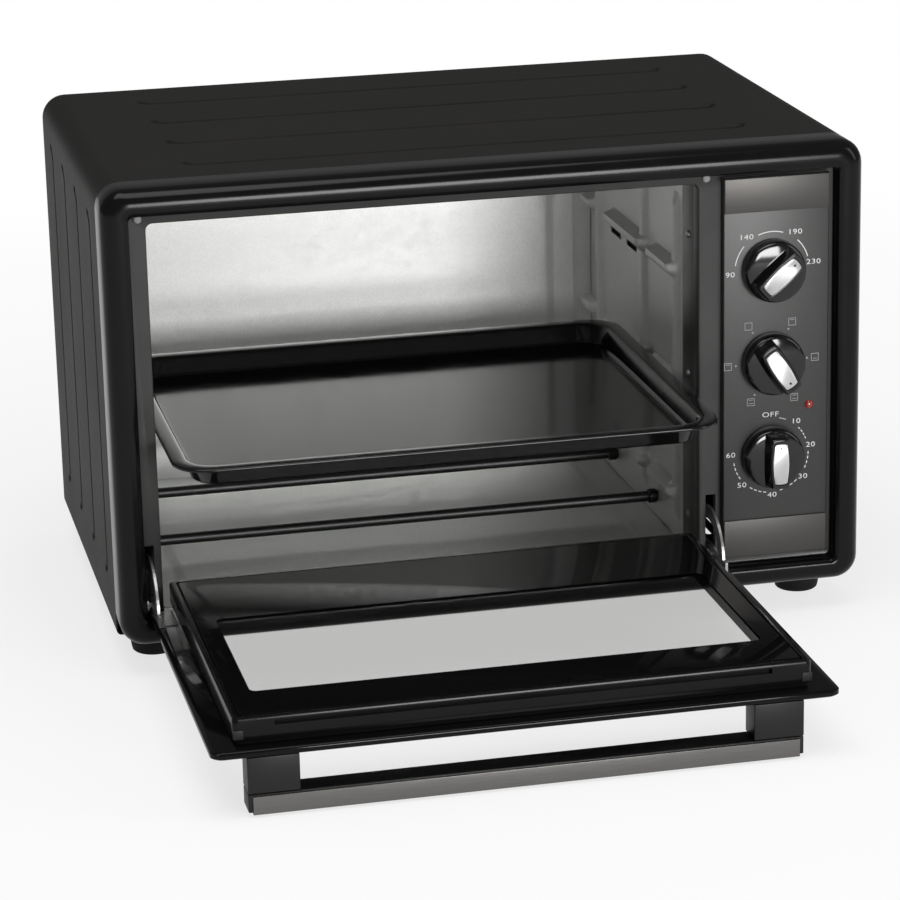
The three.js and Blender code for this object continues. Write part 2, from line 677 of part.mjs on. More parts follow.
function indicatorLens() {
  const dome = turned([
    [0, panelFace - 1.8], [1.5, panelFace - 1.4], [lensRadius, panelFace], [lensRadius, -0.6], [0, -0.6],
  ], 20);
  const mesh = piece('indicator_lens', dome, redLens);
  mesh.position.set(lens.x, 0, lens.z);
  return mesh;
}

function doorBumpers() {
  const z = (mouth.z[1] + recess.z[1]) / 2;
  const sides = { left: mouth.x[0] - 4.5, right: mouth.x[1] + 4.5 };
  return Object.entries(sides).map(([word, x]) => {
    const pad = turned([[0, -1.7], [1.6, -1.6], [2.3, -1.1], [2.3, -seat], [0, -seat]], 16);
    const mesh = piece(`door_bumper_${word}`, pad, paleRubber);
    mesh.position.set(x, 0, z);
    return mesh;
  });
}

// ---- Baking tray, its front edge at Y = 0 of its own group ----
function bakingTray() {
  const t = trayThickness;
  const low = t - trayHeight;
  const rings = [
    { inset: trayRimWidth + traySlope + 2.5, z: low, radius: 14 },
    { inset: trayRimWidth + traySlope, z: low + 1.5, radius: 15 },
    { inset: trayRimWidth, z: -2.4, radius: 17 },
    { inset: trayRimWidth - 1.2, z: -t, radius: 18 },
    { inset: 1.2, z: -t, radius: 20 },
    { inset: 0.3, z: -rimDrop, radius: 21 },
    { inset: 0, z: -1.0, radius: 21 },
    { inset: 0.6, z: 0, radius: 21 },
    { inset: trayRimWidth - 1, z: 0, radius: 18 },
    { inset: trayRimWidth + 0.9, z: -1.4, radius: 17 },
    { inset: trayRimWidth + traySlope + 0.6, z: low + 2.4, radius: 15 },
    { inset: trayRimWidth + traySlope + 2.5, z: low + t, radius: 14 },
  ];
  const mesh = piece('baking_tray', pressedPan(trayWidth, trayDepth, rings), enamel);
  mesh.position.set(mouthMiddle, trayHomeY - trayOut, trayRimZ);
  return mesh;
}

// ---- Assembly: the origin is under the middle of the open oven's box ----
const oven = new THREE.Group();
oven.add(outerWrap(), rearCover(), basePlate(), frontFrame(), cordGland());
oven.add(...feet(), ...rearScrews(), ...cavitySheets(), ...heatingElements());
oven.add(...hingeFixed(), door(), controlPanel(), ...trimPlates(), controlBracket());
oven.add(...controls(), ...knobs(), indicatorLens(), ...doorBumpers(), bakingTray());
oven.position.y = -(doorNear + rearY + gland.reach) / 2;

export default oven;
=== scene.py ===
# %% [markdown]
# # A countertop toaster oven with its door open
#
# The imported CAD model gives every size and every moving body. This file gives the looks. It goes
# piece by piece, from the frame and the camera, through the finishes, to the painted wrap, the
# bezel, the lit cavity, the tray, the door with its handle, and the dials.

# %% Load the fixed frame
import math

import bmesh
import bpy
import numpy as np
from mathutils import Matrix, Vector


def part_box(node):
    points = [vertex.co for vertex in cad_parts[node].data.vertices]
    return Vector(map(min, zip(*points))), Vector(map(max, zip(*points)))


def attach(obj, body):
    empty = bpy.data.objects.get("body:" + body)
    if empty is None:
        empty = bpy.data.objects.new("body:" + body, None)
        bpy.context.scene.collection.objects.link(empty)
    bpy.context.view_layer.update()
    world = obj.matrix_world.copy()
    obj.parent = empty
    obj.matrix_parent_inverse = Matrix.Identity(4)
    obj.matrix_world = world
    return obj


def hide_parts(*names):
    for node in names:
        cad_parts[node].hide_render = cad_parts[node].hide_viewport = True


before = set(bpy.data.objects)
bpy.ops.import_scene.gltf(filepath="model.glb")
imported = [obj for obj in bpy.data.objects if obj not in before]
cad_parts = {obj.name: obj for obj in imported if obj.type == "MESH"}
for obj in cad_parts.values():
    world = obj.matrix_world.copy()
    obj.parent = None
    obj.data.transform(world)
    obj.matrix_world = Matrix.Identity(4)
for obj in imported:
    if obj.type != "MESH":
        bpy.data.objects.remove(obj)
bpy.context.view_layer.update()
MM = 0.001


def link(thing):
    bpy.context.scene.collection.objects.link(thing)


print("CAD nodes:", len(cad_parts))

# %% [markdown]
# The camera stands a little to the left and above, with a long lens, so the sides of the oven stay
# nearly parallel. Two angles, a distance and the point it looks at place it, and it is rolled by
# about one degree. The angles are in degrees and the lens in millimetres.

# %% Camera
front_low, front_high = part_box("front_frame")
BEZEL_PROUD = 12 * MM
FLANGE_Y = front_low.y + BEZEL_PROUD

LOOK_AT = Vector((-24.81 * MM, FLANGE_Y, 116.24 * MM))
AZIMUTH, ELEVATION, ROLL = (math.radians(a) for a in (-12.41, 17.15, -1.29))
DISTANCE = 1.98423
LENS = 138.26


def place_camera():
    back = Vector((
        math.sin(AZIMUTH) * math.cos(ELEVATION),
        -math.cos(AZIMUTH) * math.cos(ELEVATION),
        math.sin(ELEVATION),
    ))
    level = (-back).cross(Vector((0, 0, 1))).normalized()
    upright = level.cross(-back)
    right = math.cos(ROLL) * level + math.sin(ROLL) * upright
    up = math.cos(ROLL) * upright - math.sin(ROLL) * level
    data = bpy.data.cameras.new("camera")
    data.lens = LENS
    data.sensor_width = 36
    data.clip_end = 50
    camera = bpy.data.objects.new("camera", data)
    turn = Matrix((right, up, back)).transposed().to_4x4()
    camera.matrix_world = Matrix.Translation(LOOK_AT + back * DISTANCE) @ turn
    link(camera)
    bpy.context.scene.camera = camera


place_camera()

# %% [markdown]
# Every finish below is a small shader tree. Python can do the sums: a `Wire` wraps one output
# socket, and `+`, `-`, `*` and `/` on wires add Math nodes. Every other node comes from one
# method, `node`, which sets the node's settings first and its sockets after.

# %% Shader sums as Python expressions
class Wire:
    """An output socket that takes part in arithmetic."""

    def __init__(self, finish, socket):
        self.finish = finish
        self.socket = socket

    def sum(self, operation, *values):
        return self.finish.node("ShaderNodeMath", {"operation": operation}, dict(enumerate(values)))

    def __add__(self, other):
        return self.sum("ADD", self, other)

    def __sub__(self, other):
        return self.sum("SUBTRACT", self, other)

    def __rsub__(self, other):
        return self.sum("SUBTRACT", other, self)

    def __mul__(self, other):
        return self.sum("MULTIPLY", self, other)

    def __truediv__(self, other):
        return self.sum("DIVIDE", self, other)

    def __pow__(self, other):
        return self.sum("POWER", self, other)

    __radd__ = __add__
    __rmul__ = __mul__

    def __abs__(self):
        return self.sum("ABSOLUTE", self)

    def least(self, other):
        return self.sum("MINIMUM", self, other)

    def most(self, other):
        return self.sum("MAXIMUM", self, other)

    def clear_of(self, edge, softness):
        """0 below the edge, 1 above it, with a soft step between."""
        return ((self - edge) / softness + 0.5).most(0).least(1)


class Shading:
    """A shader tree, and the one method that adds nodes to it."""

    def __init__(self, tree):
        self.tree = tree

    def feed(self, node, values):
        for key, value in values.items():
            if isinstance(value, Wire):
                self.tree.links.new(value.socket, node.inputs[key])
            else:
                node.inputs[key].default_value = value

    def node(self, kind, settings=None, values=None, output=0):
        made = self.tree.nodes.new(kind)
        for key, value in (settings or {}).items():
            if key == "stops":
                ramp = made.color_ramp
                while len(ramp.elements) < len(value):
                    ramp.elements.new(0.5)
                for element, (place, colour) in zip(ramp.elements, value):
                    element.position = place
                    element.color = (*colour, 1)
            else:
                setattr(made, key, value)
        self.feed(made, values or {})
        return Wire(self, made.outputs[output])

    def seen_by(self, *kinds):
        """1 for rays of the given kinds, such as Camera or Glossy, and 0 for the rest."""
        path = self.node("ShaderNodeLightPath")
        rays = [Wire(self, path.socket.node.outputs[f"Is {kind} Ray"]) for kind in kinds]
        seen = rays[0]
        for ray in rays[1:]:
            seen = seen.most(ray)
        return seen


class Finish(Shading):
    """One material and its Principled shader."""

    def __init__(self, name, colour, roughness, metallic=0.0, **plain):
        self.material = bpy.data.materials.new(name)
        self.material.use_nodes = True
        super().__init__(self.material.node_tree)
        self.shader = self.tree.nodes["Principled BSDF"]
        self.feed(self.shader, {"Base Color": (*colour, 1), "Roughness": roughness, "Metallic": metallic})
        self.feed(self.shader, {key.replace("_", " "): value for key, value in plain.items()})

    def set(self, **values):
        self.feed(self.shader, {key.replace("_", " "): value for key, value in values.items()})
        return self

    def place(self):
        return self.node("ShaderNodeTexCoord", output="Object")

    def axes(self):
        split = self.node("ShaderNodeSeparateXYZ", values={"Vector": self.place()})
        return [Wire(self, socket) for socket in split.socket.node.outputs]

    def stretched(self, scale):
        return self.node("ShaderNodeMapping", values={"Vector": self.place(), "Scale": scale})

    def noise(self, size, detail=3.0, rough=0.55, stretch=(1, 1, 1)):
        """Noise whose grains are about size metres across."""
        scaled = self.stretched(tuple(s / size for s in stretch))
        values = {"Vector": scaled, "Scale": 1.0, "Detail": detail, "Roughness": rough}
        return self.node("ShaderNodeTexNoise", values=values, output=0)

    def bump(self, height, strength, depth):
        values = {"Height": height, "Strength": strength, "Distance": depth}
        self.set(Normal=self.node("ShaderNodeBump", values=values))
        return self

    def tint(self, mask, low, high):
        ramp = self.node("ShaderNodeValToRGB", {"stops": [(0.0, low), (1.0, high)]}, {"Fac": mask})
        return self.set(Base_Color=ramp)


print("shader kit ready")

# %% [markdown]
# The real oven has about a dozen finishes. The wrap is powder coated: matte black with a fine
# orange-peel grain. The bezel and mouldings are smooth black plastic. The inside is galvanised
# sheet, whose zinc grain shows as cloudy patches. Each finish below varies its colour a little and
# its roughness more, because that is what catches the eye on black things.

# %% Painted and moulded finishes
def grey(value, warmth=0.0):
    return (value * (1 + warmth), value, value * (1 - warmth))


def powder_coat():
    f = Finish("powder_coat", grey(0.007), 0.5, Specular_IOR_Level=0.04)
    grain = f.noise(1.3 * MM, 3, 0.7)
    clouds = f.noise(60 * MM, 3)
    f.tint(clouds * 0.4 + grain * 0.6, (0.006, 0.0058, 0.0055), (0.026, 0.025, 0.0235))
    f.set(Roughness=clouds * 0.1 + grain * 0.16 + 0.34)
    return f.bump(grain, 0.6, 0.25 * MM)


def gloss_moulding(name, value, rough, gloss, grain_size=2.5 * MM, grain_depth=0.008):
    f = Finish(name, grey(value), rough, Specular_IOR_Level=gloss)
    smear = f.noise(26 * MM, 4)
    f.tint(smear, grey(value * 0.7), grey(value * 1.5))
    f.set(Roughness=smear * 0.08 + rough)
    return f.bump(f.noise(grain_size, 2), 0.2, grain_depth * MM)


def satin_moulding():
    f = Finish("satin_moulding", grey(0.006), 0.4, Specular_IOR_Level=0.3)
    grain = f.noise(0.6 * MM, 2)
    f.tint(f.noise(35 * MM, 3), grey(0.003), grey(0.006, 0.04))
    f.set(Roughness=grain * 0.18 + 0.3)
    return f.bump(grain, 0.3, 0.05 * MM)


def flange_paint():
    """The recess and the flange round the mouth: smooth black enamel over steel."""
    f = Finish("flange_paint", grey(0.012), 0.3, Specular_IOR_Level=0.4)
    smear = f.noise(30 * MM, 3)
    f.tint(smear, grey(0.014), grey(0.028, 0.05))
    f.set(Roughness=smear * 0.15 + 0.25)
    return f.bump(f.noise(1.2 * MM, 2), 0.15, 0.03 * MM)


def panel_ink_grey():
    f = Finish("panel_grey", grey(0.05), 0.4, 0.75)
    grain = f.noise(0.5 * MM, 2)
    f.tint(grain, grey(0.04, 0.01), grey(0.06, 0.01))
    f.set(Roughness=grain * 0.12 + 0.34)
    return f.bump(grain, 0.2, 0.03 * MM)


powder = powder_coat()
bezel_black = gloss_moulding("bezel_black", 0.003, 0.13, 0.16)
knob_black = gloss_moulding("knob_black", 0.003, 0.06, 0.5, 6 * MM, 0.004)
satin_black = satin_moulding()
flange_black = flange_paint()
panel_grey = panel_ink_grey()
print("painted finishes:", 6)

# %% [markdown]
# Metals come next. Galvanised sheet is a cellular pattern of zinc crystals, seen as faint patches
# of lighter and darker grey. Brushed steel is noise stretched along the brush. A plated screw or
# hinge is plain metal with a little wear in its roughness.

# %% Metal finishes
def galvanised_sheet():
    f = Finish("galvanised_sheet", grey(0.7), 0.4, 0.45)
    cells = {"Vector": f.stretched((1 / (5 * MM),) * 3), "Scale": 1.0}
    crystal = f.node("ShaderNodeTexVoronoi", values=cells, output="Color")
    patch = f.node("ShaderNodeRGBToBW", values={"Color": crystal})
    fine = f.noise(0.9 * MM, 3)
    f.tint(patch * 0.12 + fine * 0.88, (0.56, 0.565, 0.55), (0.86, 0.865, 0.845))
    f.set(Roughness=patch * 0.12 + fine * 0.1 + 0.3)
    return f.bump(fine, 0.18, 0.05 * MM)


def brushed(name, value, warmth, rough, stretch):
    f = Finish(name, grey(value, warmth), rough, 1.0)
    scratches = f.noise(0.35 * MM, 3, 0.6, stretch)
    f.tint(scratches, grey(value * 0.75, warmth), grey(value * 1.15, warmth))
    f.set(Roughness=scratches * 0.2 + rough - 0.1)
    return f.bump(scratches, 0.25, 0.03 * MM)


def plated(name, value, rough):
    f = Finish(name, grey(value), rough, 0.95)
    wear = f.noise(3 * MM, 4)
    f.tint(wear, grey(value * 0.7), grey(value * 1.2))
    f.set(Roughness=wear * 0.25 + rough - 0.1)
    return f


galvanised = galvanised_sheet()
strip_steel = brushed("brushed_strip", 0.17, 0.03, 0.32, (0.02, 1, 1))
insert_silver = brushed("satin_silver", 0.6, 0.0, 0.34, (1, 1, 1))
trim_steel = brushed("grained_trim", 0.075, 0.04, 0.42, (0.4, 1, 0.4))
plated_steel = plated("plated_steel", 0.42, 0.3)
hot_tube = plated("heat_darkened_tube", 0.06, 0.42)
print("metal finishes:", 6)

# %% [markdown]
# Last come the special ones: enamel, which is glass fused on steel and so is the shiniest black
# here, rubber, the red lens and the white print.

# %% Enamel, rubber, lens and print
def tray_enamel():
    f = Finish("tray_enamel", grey(0.003), 0.09, Specular_IOR_Level=0.32)
    speck = f.noise(1.1 * MM, 2)
    f.tint(speck ** 3, grey(0.002), grey(0.012))
    f.set(Roughness=f.noise(18 * MM, 3) * 0.12 + 0.06)
    return f.bump(f.noise(9 * MM, 2), 0.12, 0.12 * MM)


def soft_rubber(name, value):
    f = Finish(name, grey(value), 0.75, Specular_IOR_Level=0.2)
    grain = f.noise(0.8 * MM, 3)
    f.tint(grain, grey(value * 0.8), grey(value * 1.3))
    f.set(Roughness=grain * 0.2 + 0.55)
    return f.bump(grain, 0.3, 0.06 * MM)


def lamp_red():
    f = Finish("lamp_red", (0.22, 0.007, 0.003), 0.12, Coat_Weight=1.0)
    glow = f.noise(2.2 * MM, 2)
    f.tint(glow, (0.05, 0.0, 0.0), (0.28, 0.014, 0.007))
    return f.set(Emission_Color=(0.8, 0.03, 0.01, 1), Emission_Strength=0.06)


def white_print(name, value):
    f = Finish(name, grey(value), 0.5)
    f.tint(f.noise(0.7 * MM, 2), grey(value * 0.85), grey(value * 1.1))
    return f


def cream_plastic():
    f = Finish("switch_cream", (0.62, 0.56, 0.44), 0.5)
    f.tint(f.noise(12 * MM, 3), (0.55, 0.5, 0.38), (0.7, 0.64, 0.52))
    return f


enamel = tray_enamel()
foot_rubber = soft_rubber("foot_rubber", 0.005)
bumper_rubber = soft_rubber("bumper_rubber", 0.22)
lens_red = lamp_red()
print_white = white_print("white_print", 0.6)
print_grey = white_print("grey_print", 0.26)
cream = cream_plastic()
print("special finishes:", 7)


# %% [markdown]
# Both panes carry a black printed border. The border is the same sheet as the window, so one
# material does both: a mask made from the position mixes the black print with a tinted Transparent
# shader. Light meets four surfaces on its way through two panes, so one surface takes little of it.

# %% Glass with a printed border
GLASS_TINT = (0.957, 0.958, 0.955)
PANE_SHEEN = 0.05


def printed_glass(name, low, high, radius, gloss):
    """Black outside the rounded window from low to high, in x and y, and tinted clear inside it."""
    f = Finish(name, grey(0.003), 0.05, Specular_IOR_Level=gloss)
    x, y, _ = f.axes()
    beyond_x = (abs(x - (low[0] + high[0]) / 2) - ((high[0] - low[0]) / 2 - radius)).most(0)
    beyond_y = (abs(y - (low[1] + high[1]) / 2) - ((high[1] - low[1]) / 2 - radius)).most(0)
    border = ((beyond_x ** 2 + beyond_y ** 2) ** 0.5).clear_of(radius, 0.5 * MM)
    f.set(Roughness=f.noise(40 * MM, 3) * 0.06 + 0.03)
    tint = f.node("ShaderNodeBsdfTransparent", values={"Color": (*GLASS_TINT, 1)})
    share = border * (1 - PANE_SHEEN) + PANE_SHEEN
    mixed = f.node("ShaderNodeMixShader", values={0: share, 1: tint, 2: Wire(f, f.shader.outputs[0])})
    f.tree.links.new(mixed.socket, f.tree.nodes["Material Output"].inputs["Surface"])
    f.material.surface_render_method = "BLENDED"
    return f


door_low, door_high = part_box("door_outer_panel")
pane_low, pane_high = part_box("door_inner_pane")
WINDOW_BORDER = {"side": 11.5 * MM, "near": 33 * MM, "far": 67 * MM}
inner_window = (
    (pane_low.x + WINDOW_BORDER["side"], pane_low.y + WINDOW_BORDER["near"]),
    (pane_high.x - WINDOW_BORDER["side"], pane_high.y - WINDOW_BORDER["far"]),
)
outer_window = (
    (door_low.x + 20 * MM, door_low.y + 30 * MM),
    (door_high.x - 13.5 * MM, door_high.y - 20 * MM),
)
inner_glass = printed_glass("inner_pane_glass", *inner_window, 4 * MM, 0.012)
outer_glass = printed_glass("outer_panel_glass", *outer_window, 6 * MM, 0.12)
print("window clear area, mm:", [round((b - a) / MM) for a, b in zip(*inner_window)])

# %% [markdown]
# Most of the oven is made of rounded rectangles: the wrap, the bezel, the mouth, the tray. One
# `outline` function gives the points of a rounded rectangle, always the same number of them, so
# that any two can be joined by a `loft` of quads, as a pressed or moulded piece flows from one
# section to the next.

# %% Mesh helpers
def outline(u, v, radius, steps=8):
    """Points of a rounded rectangle, anticlockwise, (steps + 1) to each corner."""
    radius = max(radius, 0.01 * MM)
    corners = [(u[1], v[0], -90), (u[1], v[1], 0), (u[0], v[1], 90), (u[0], v[0], 180)]
    points = []
    for cu, cv, start in corners:
        mu = cu - math.copysign(radius, cu - (u[0] + u[1]) / 2)
        mv = cv - math.copysign(radius, cv - (v[0] + v[1]) / 2)
        for step in range(steps + 1):
            angle = math.radians(start + 90 * step / steps)
            points.append((mu + radius * math.cos(angle), mv + radius * math.sin(angle)))
    return points


def grow(span, by):
    return (span[0] - by, span[1] + by)


def level_outline(low, high, inset, z, radius, steps=8):
    """A level rounded rectangle at height z, inset from the sides of a box."""
    x, y = grow((low.x, high.x), -inset), grow((low.y, high.y), -inset)
    return [(u, v, z) for u, v in outline(x, y, radius, steps)]


def smooth(piece, sharp):
    """Shades the piece smooth, with a crease where faces turn by more than sharp degrees."""
    piece.data.shade_smooth()
    piece.data.set_sharp_from_angle(angle=math.radians(sharp))


def weld(mesh, turn_outwards=False):
    """Joins points that lie on each other, and turns the faces outwards if asked."""
    build = bmesh.new()
    build.from_mesh(mesh)
    bmesh.ops.remove_doubles(build, verts=build.verts, dist=1e-6)
    if turn_outwards:
        bmesh.ops.recalc_face_normals(build, faces=build.faces)
    build.to_mesh(mesh)
    build.free()


def new_piece(name, points, faces, finish, body, replaces=(), sharp=35, slot=None):
    mesh = bpy.data.meshes.new(name)
    mesh.from_pydata([tuple(p) for p in points], [], faces)
    weld(mesh, turn_outwards=True)
    piece = bpy.data.objects.new(name, mesh)
    link(piece)
    return dress(piece, finish, body, replaces, sharp, slot)


def dress(piece, finish, body, replaces=(), sharp=35, slot=None):
    piece.data.materials.clear()
    piece.data.materials.append(finish.material)
    smooth(piece, sharp)
    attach(piece, body)
    if replaces:
        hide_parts(*replaces)
    return piece


def loft_faces(count, rings, joined):
    """Quads between neighbouring rings; joined also closes the last ring to the first."""
    faces = []
    for ring in range(rings if joined else rings - 1):
        here = ring * count
        there = (ring + 1) % rings * count
        for i in range(count):
            j = (i + 1) % count
            faces.append((here + i, here + j, there + j, there + i))
    if not joined:
        faces.append(tuple(range(count - 1, -1, -1)))
        faces.append(tuple(range((rings - 1) * count, rings * count)))
    return faces


def loft(name, rings, finish, body, joined=False, **more):
    points = [point for ring in rings for point in ring]
    return new_piece(name, points, loft_faces(len(rings[0]), len(rings), joined), finish, body, **more)


def settle(piece):
    """Turns a piece's modifiers into its mesh."""
    graph = bpy.context.evaluated_depsgraph_get()
    mesh = bpy.data.meshes.new_from_object(piece.evaluated_get(graph))
    piece.modifiers.clear()
    piece.data = mesh


def thicken(piece, thickness, offset=-1):
    """Gives a single sheet its thickness; offset -1 grows it inwards, and 0 both ways."""
    thick = piece.modifiers.new("thickness", "SOLIDIFY")
    thick.thickness = thickness
    thick.offset = offset
    settle(piece)


def soften(piece, width, segments=3, angle=30):
    """Rounds the edges that turn by more than angle."""
    bevel = piece.modifiers.new("soften", "BEVEL")
    bevel.width = width
    bevel.segments = segments
    bevel.limit_method = "ANGLE"
    bevel.angle_limit = math.radians(angle)
    bevel.harden_normals = False
    settle(piece)
    smooth(piece, 45)
    return piece


def block_points(low, high):
    xs, ys, zs = zip(low, high)
    around = ((xs[0], ys[0]), (xs[1], ys[0]), (xs[1], ys[1]), (xs[0], ys[1]))
    points = [(x, y, z) for z in zs for x, y in around]
    walls = [(i, (i + 1) % 4, 4 + (i + 1) % 4, 4 + i) for i in range(4)]
    return points, [(3, 2, 1, 0), (4, 5, 6, 7)] + walls


def eased_block(name, low, high, finish, body, ease=0.6 * MM, **more):
    piece = new_piece(name, *block_points(low, high), finish, body, **more)
    return soften(piece, ease)


def cut_away(piece, blocks):
    """Cuts blocks, given as (low, high) corners, out of a closed piece."""
    for low, high in blocks:
        mesh = bpy.data.meshes.new("cutter")
        points, faces = block_points(low, high)
        mesh.from_pydata(points, [], faces)
        cutter = bpy.data.objects.new("cutter", mesh)
        link(cutter)
        cut = piece.modifiers.new("cut", "BOOLEAN")
        cut.operation = "DIFFERENCE"
        cut.solver = "EXACT"
        cut.object = cutter
        settle(piece)
        bpy.data.objects.remove(cutter)


def turned(name, profile, centre, finish, body, axis="Y", segments=64, **more):
    """A turned piece: profile is (radius, place along the axis), from axis to axis or closed."""
    points, faces = [], []
    for i in range(segments):
        angle = 2 * math.pi * i / segments
        for radius, along in profile:
            u, v = radius * math.cos(angle), radius * math.sin(angle)
            points.append({"Y": (u, along, v), "Z": (u, v, along), "X": (along, u, v)}[axis])
    count = len(profile)
    for i in range(segments):
        j = (i + 1) % segments
        for k in range(count - 1):
            faces.append((i * count + k, i * count + k + 1, j * count + k + 1, j * count + k))
    points = [Vector(p) + Vector(centre) for p in points]
    return new_piece(name, points, faces, finish, body, **more)


def arc_profile(centre, radius, start, end, steps=6):
    """Points of an arc in a profile, angles in degrees."""
    angles = [math.radians(start + (end - start) * i / steps) for i in range(steps + 1)]
    return [(centre[0] + radius * math.cos(a), centre[1] + radius * math.sin(a)) for a in angles]


print("mesh helpers ready")

# %% [markdown]
# ## The wrap
#
# The top and both sides are one painted sheet. Long lines are pressed into it to stiffen it: four
# across the top, and four down each side, each with hooked ends. The sheet is a grid that follows
# the bent outline. Its rows and columns crowd together where a line is pressed, so the groove is
# real geometry without a heavy mesh.

# %% Wrap with pressed lines
wrap_low, wrap_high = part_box("outer_wrap")
WRAP_RADIUS = 14 * MM
GROOVE = {"half": 2.3 * MM, "depth": 1.7 * MM, "hook": 9 * MM}
LINE_Y = [wrap_low.y + (29.7 + i * 60) * MM for i in range(4)]
TOP_LINES = (-164 * MM, 166 * MM)
SIDE_LINES = (46 * MM, 259 * MM)


def groove_depth(along, y, ends):
    """How deep the pressed lines are at each point, from the distance to their hooked paths."""
    deep = np.zeros_like(along)
    hook = GROOVE["hook"]
    for line in LINE_Y:
        inside = np.clip(along, ends[0] + hook, ends[1] - hook)
        away = np.hypot(along - inside, y - line)
        for end, way in ((ends[0] + hook, -1), (ends[1] - hook, 1)):
            du, dv = (along - end) * way, y - (line + hook)
            in_quarter = (du >= 0) & (dv <= 0)
            ring = np.abs(np.hypot(du, dv) - hook)
            tip = np.hypot(du - hook, dv)
            away = np.where(in_quarter, ring, np.where(du > 0, np.minimum(tip, away), away))
        shape = np.clip(1 - away / GROOVE["half"], 0, 1)
        deep = np.maximum(deep, GROOVE["depth"] * shape * shape * (3 - 2 * shape))
    return deep


def crowded(start, end, places, reach, fine, coarse):
    """Sample places from start to end that crowd within reach of each given place."""
    spots = set(np.linspace(start, end, coarse))
    for place in places:
        spots |= {s for s in np.linspace(place - reach[0], place + reach[1], fine) if start < s < end}
    ordered = sorted(spots)
    return [a for a, b in zip(ordered, ordered[1:]) if b - a > 0.05 * MM] + [end]


def wrap_piece():
    left, right, low, high = wrap_low.x, wrap_high.x, wrap_low.z, wrap_high.z
    lip = 11.7 * MM
    small = 3 * MM
    ys = crowded(wrap_low.y, wrap_high.y, LINE_Y, (3 * MM, 12 * MM), 18, 12)
    ends = [SIDE_LINES[0] + 3 * MM, SIDE_LINES[1] - 3 * MM]
    side = crowded(low + small, high - WRAP_RADIUS, ends, (7 * MM, 7 * MM), 14, 8)
    ends = [TOP_LINES[0] + 4 * MM, TOP_LINES[1] - 4 * MM]
    top = crowded(left + WRAP_RADIUS, right - WRAP_RADIUS, ends, (8 * MM, 8 * MM), 16, 12)
    path = [(left + lip, low, 0, 1, None)]
    quarter = [math.radians(90 * i / 8) for i in range(9)]
    path += [(left + small - small * math.sin(a), low + small - small * math.cos(a),
              math.sin(a), math.cos(a), None) for a in quarter]
    path += [(left, z, 1, 0, "side") for z in side]
    path += [(left + WRAP_RADIUS - WRAP_RADIUS * math.cos(a), high - WRAP_RADIUS + WRAP_RADIUS * math.sin(a),
              math.cos(a), -math.sin(a), None) for a in quarter]
    path += [(x, high, 0, -1, "top") for x in top]
    path += [(-x, z, -nx, nz, "side" if kind == "side" else None)
             for x, z, nx, nz, kind in reversed(path) if kind != "top"]
    grid_y = np.array(ys)
    points = []
    for x, z, nx, nz, kind in path:
        deep = np.zeros_like(grid_y)
        if kind:
            along = np.full_like(grid_y, z if kind == "side" else x)
            deep = groove_depth(along, grid_y, SIDE_LINES if kind == "side" else TOP_LINES)
        points += [(x + nx * d, y, z + nz * d) for y, d in zip(ys, deep)]
    rows = len(ys)
    faces = [(c * rows + r, c * rows + r + 1, (c + 1) * rows + r + 1, (c + 1) * rows + r)
             for c in range(len(path) - 1) for r in range(rows - 1)]
    piece = new_piece("wrap_sheet", points, faces, powder, "housing", ["outer_wrap"], 40, "wrap_paint")
    if piece.data.polygons[0].normal.z > 0:
        piece.data.flip_normals()
    thicken(piece, 0.9 * MM)
    smooth(piece, 40)
    return piece


wrap = wrap_piece()
print("wrap faces:", len(wrap.data.polygons))

# %% [markdown]
# ## The bezel
#
# The front frame is one moulding: a rounded crest round the edge, a deep wall down to the flange,
# the flange itself, and a short return into the mouth. It is a loft of rounded rectangles that
# ends where it began, like a picture frame. The hinge pockets are cut out afterwards.

# %% Bezel and flange
RECESS_INSET = {"side": 15.5 * MM, "low": 13.5 * MM}
recess_x = (front_low.x + RECESS_INSET["side"], front_high.x - RECESS_INSET["side"])
recess_z = (front_low.z + RECESS_INSET["low"], front_high.z - RECESS_INSET["side"])
panel_low, panel_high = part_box("control_panel")
mouth_x = (recess_x[0] + 10.6 * MM, panel_low.x - 13.2 * MM)
mouth_z = (recess_z[0] + 2 * MM, recess_z[1] - 6.4 * MM)
mouth_middle = (mouth_x[0] + mouth_x[1]) / 2
HINGE_POCKET = {"near": 163.05 * MM, "far": 169.15 * MM, "low": 32 * MM, "high": 75 * MM}
BEZEL_RADIUS = 14 * MM
RECESS_RADIUS = 3 * MM


def bezel_ring(share, y, sunk=0.0):
    """A ring part way from the outer edge, 0, to the recess wall, 1; sunk moves it inwards."""
    inset = RECESS_INSET["side"] * share + sunk
    x = (front_low.x + inset, front_high.x - inset)
    z = (front_low.z + RECESS_INSET["low"] * share + sunk, front_high.z - inset)
    radius = BEZEL_RADIUS + (RECESS_RADIUS - BEZEL_RADIUS) * share - sunk
    return [(u, FLANGE_Y + y, v) for u, v in outline(x, z, max(radius, 1 * MM))]


def mouth_ring(out, y):
    return [(u, FLANGE_Y + y, v) for u, v in outline(grow(mouth_x, out), grow(mouth_z, out), 4 * MM + out)]


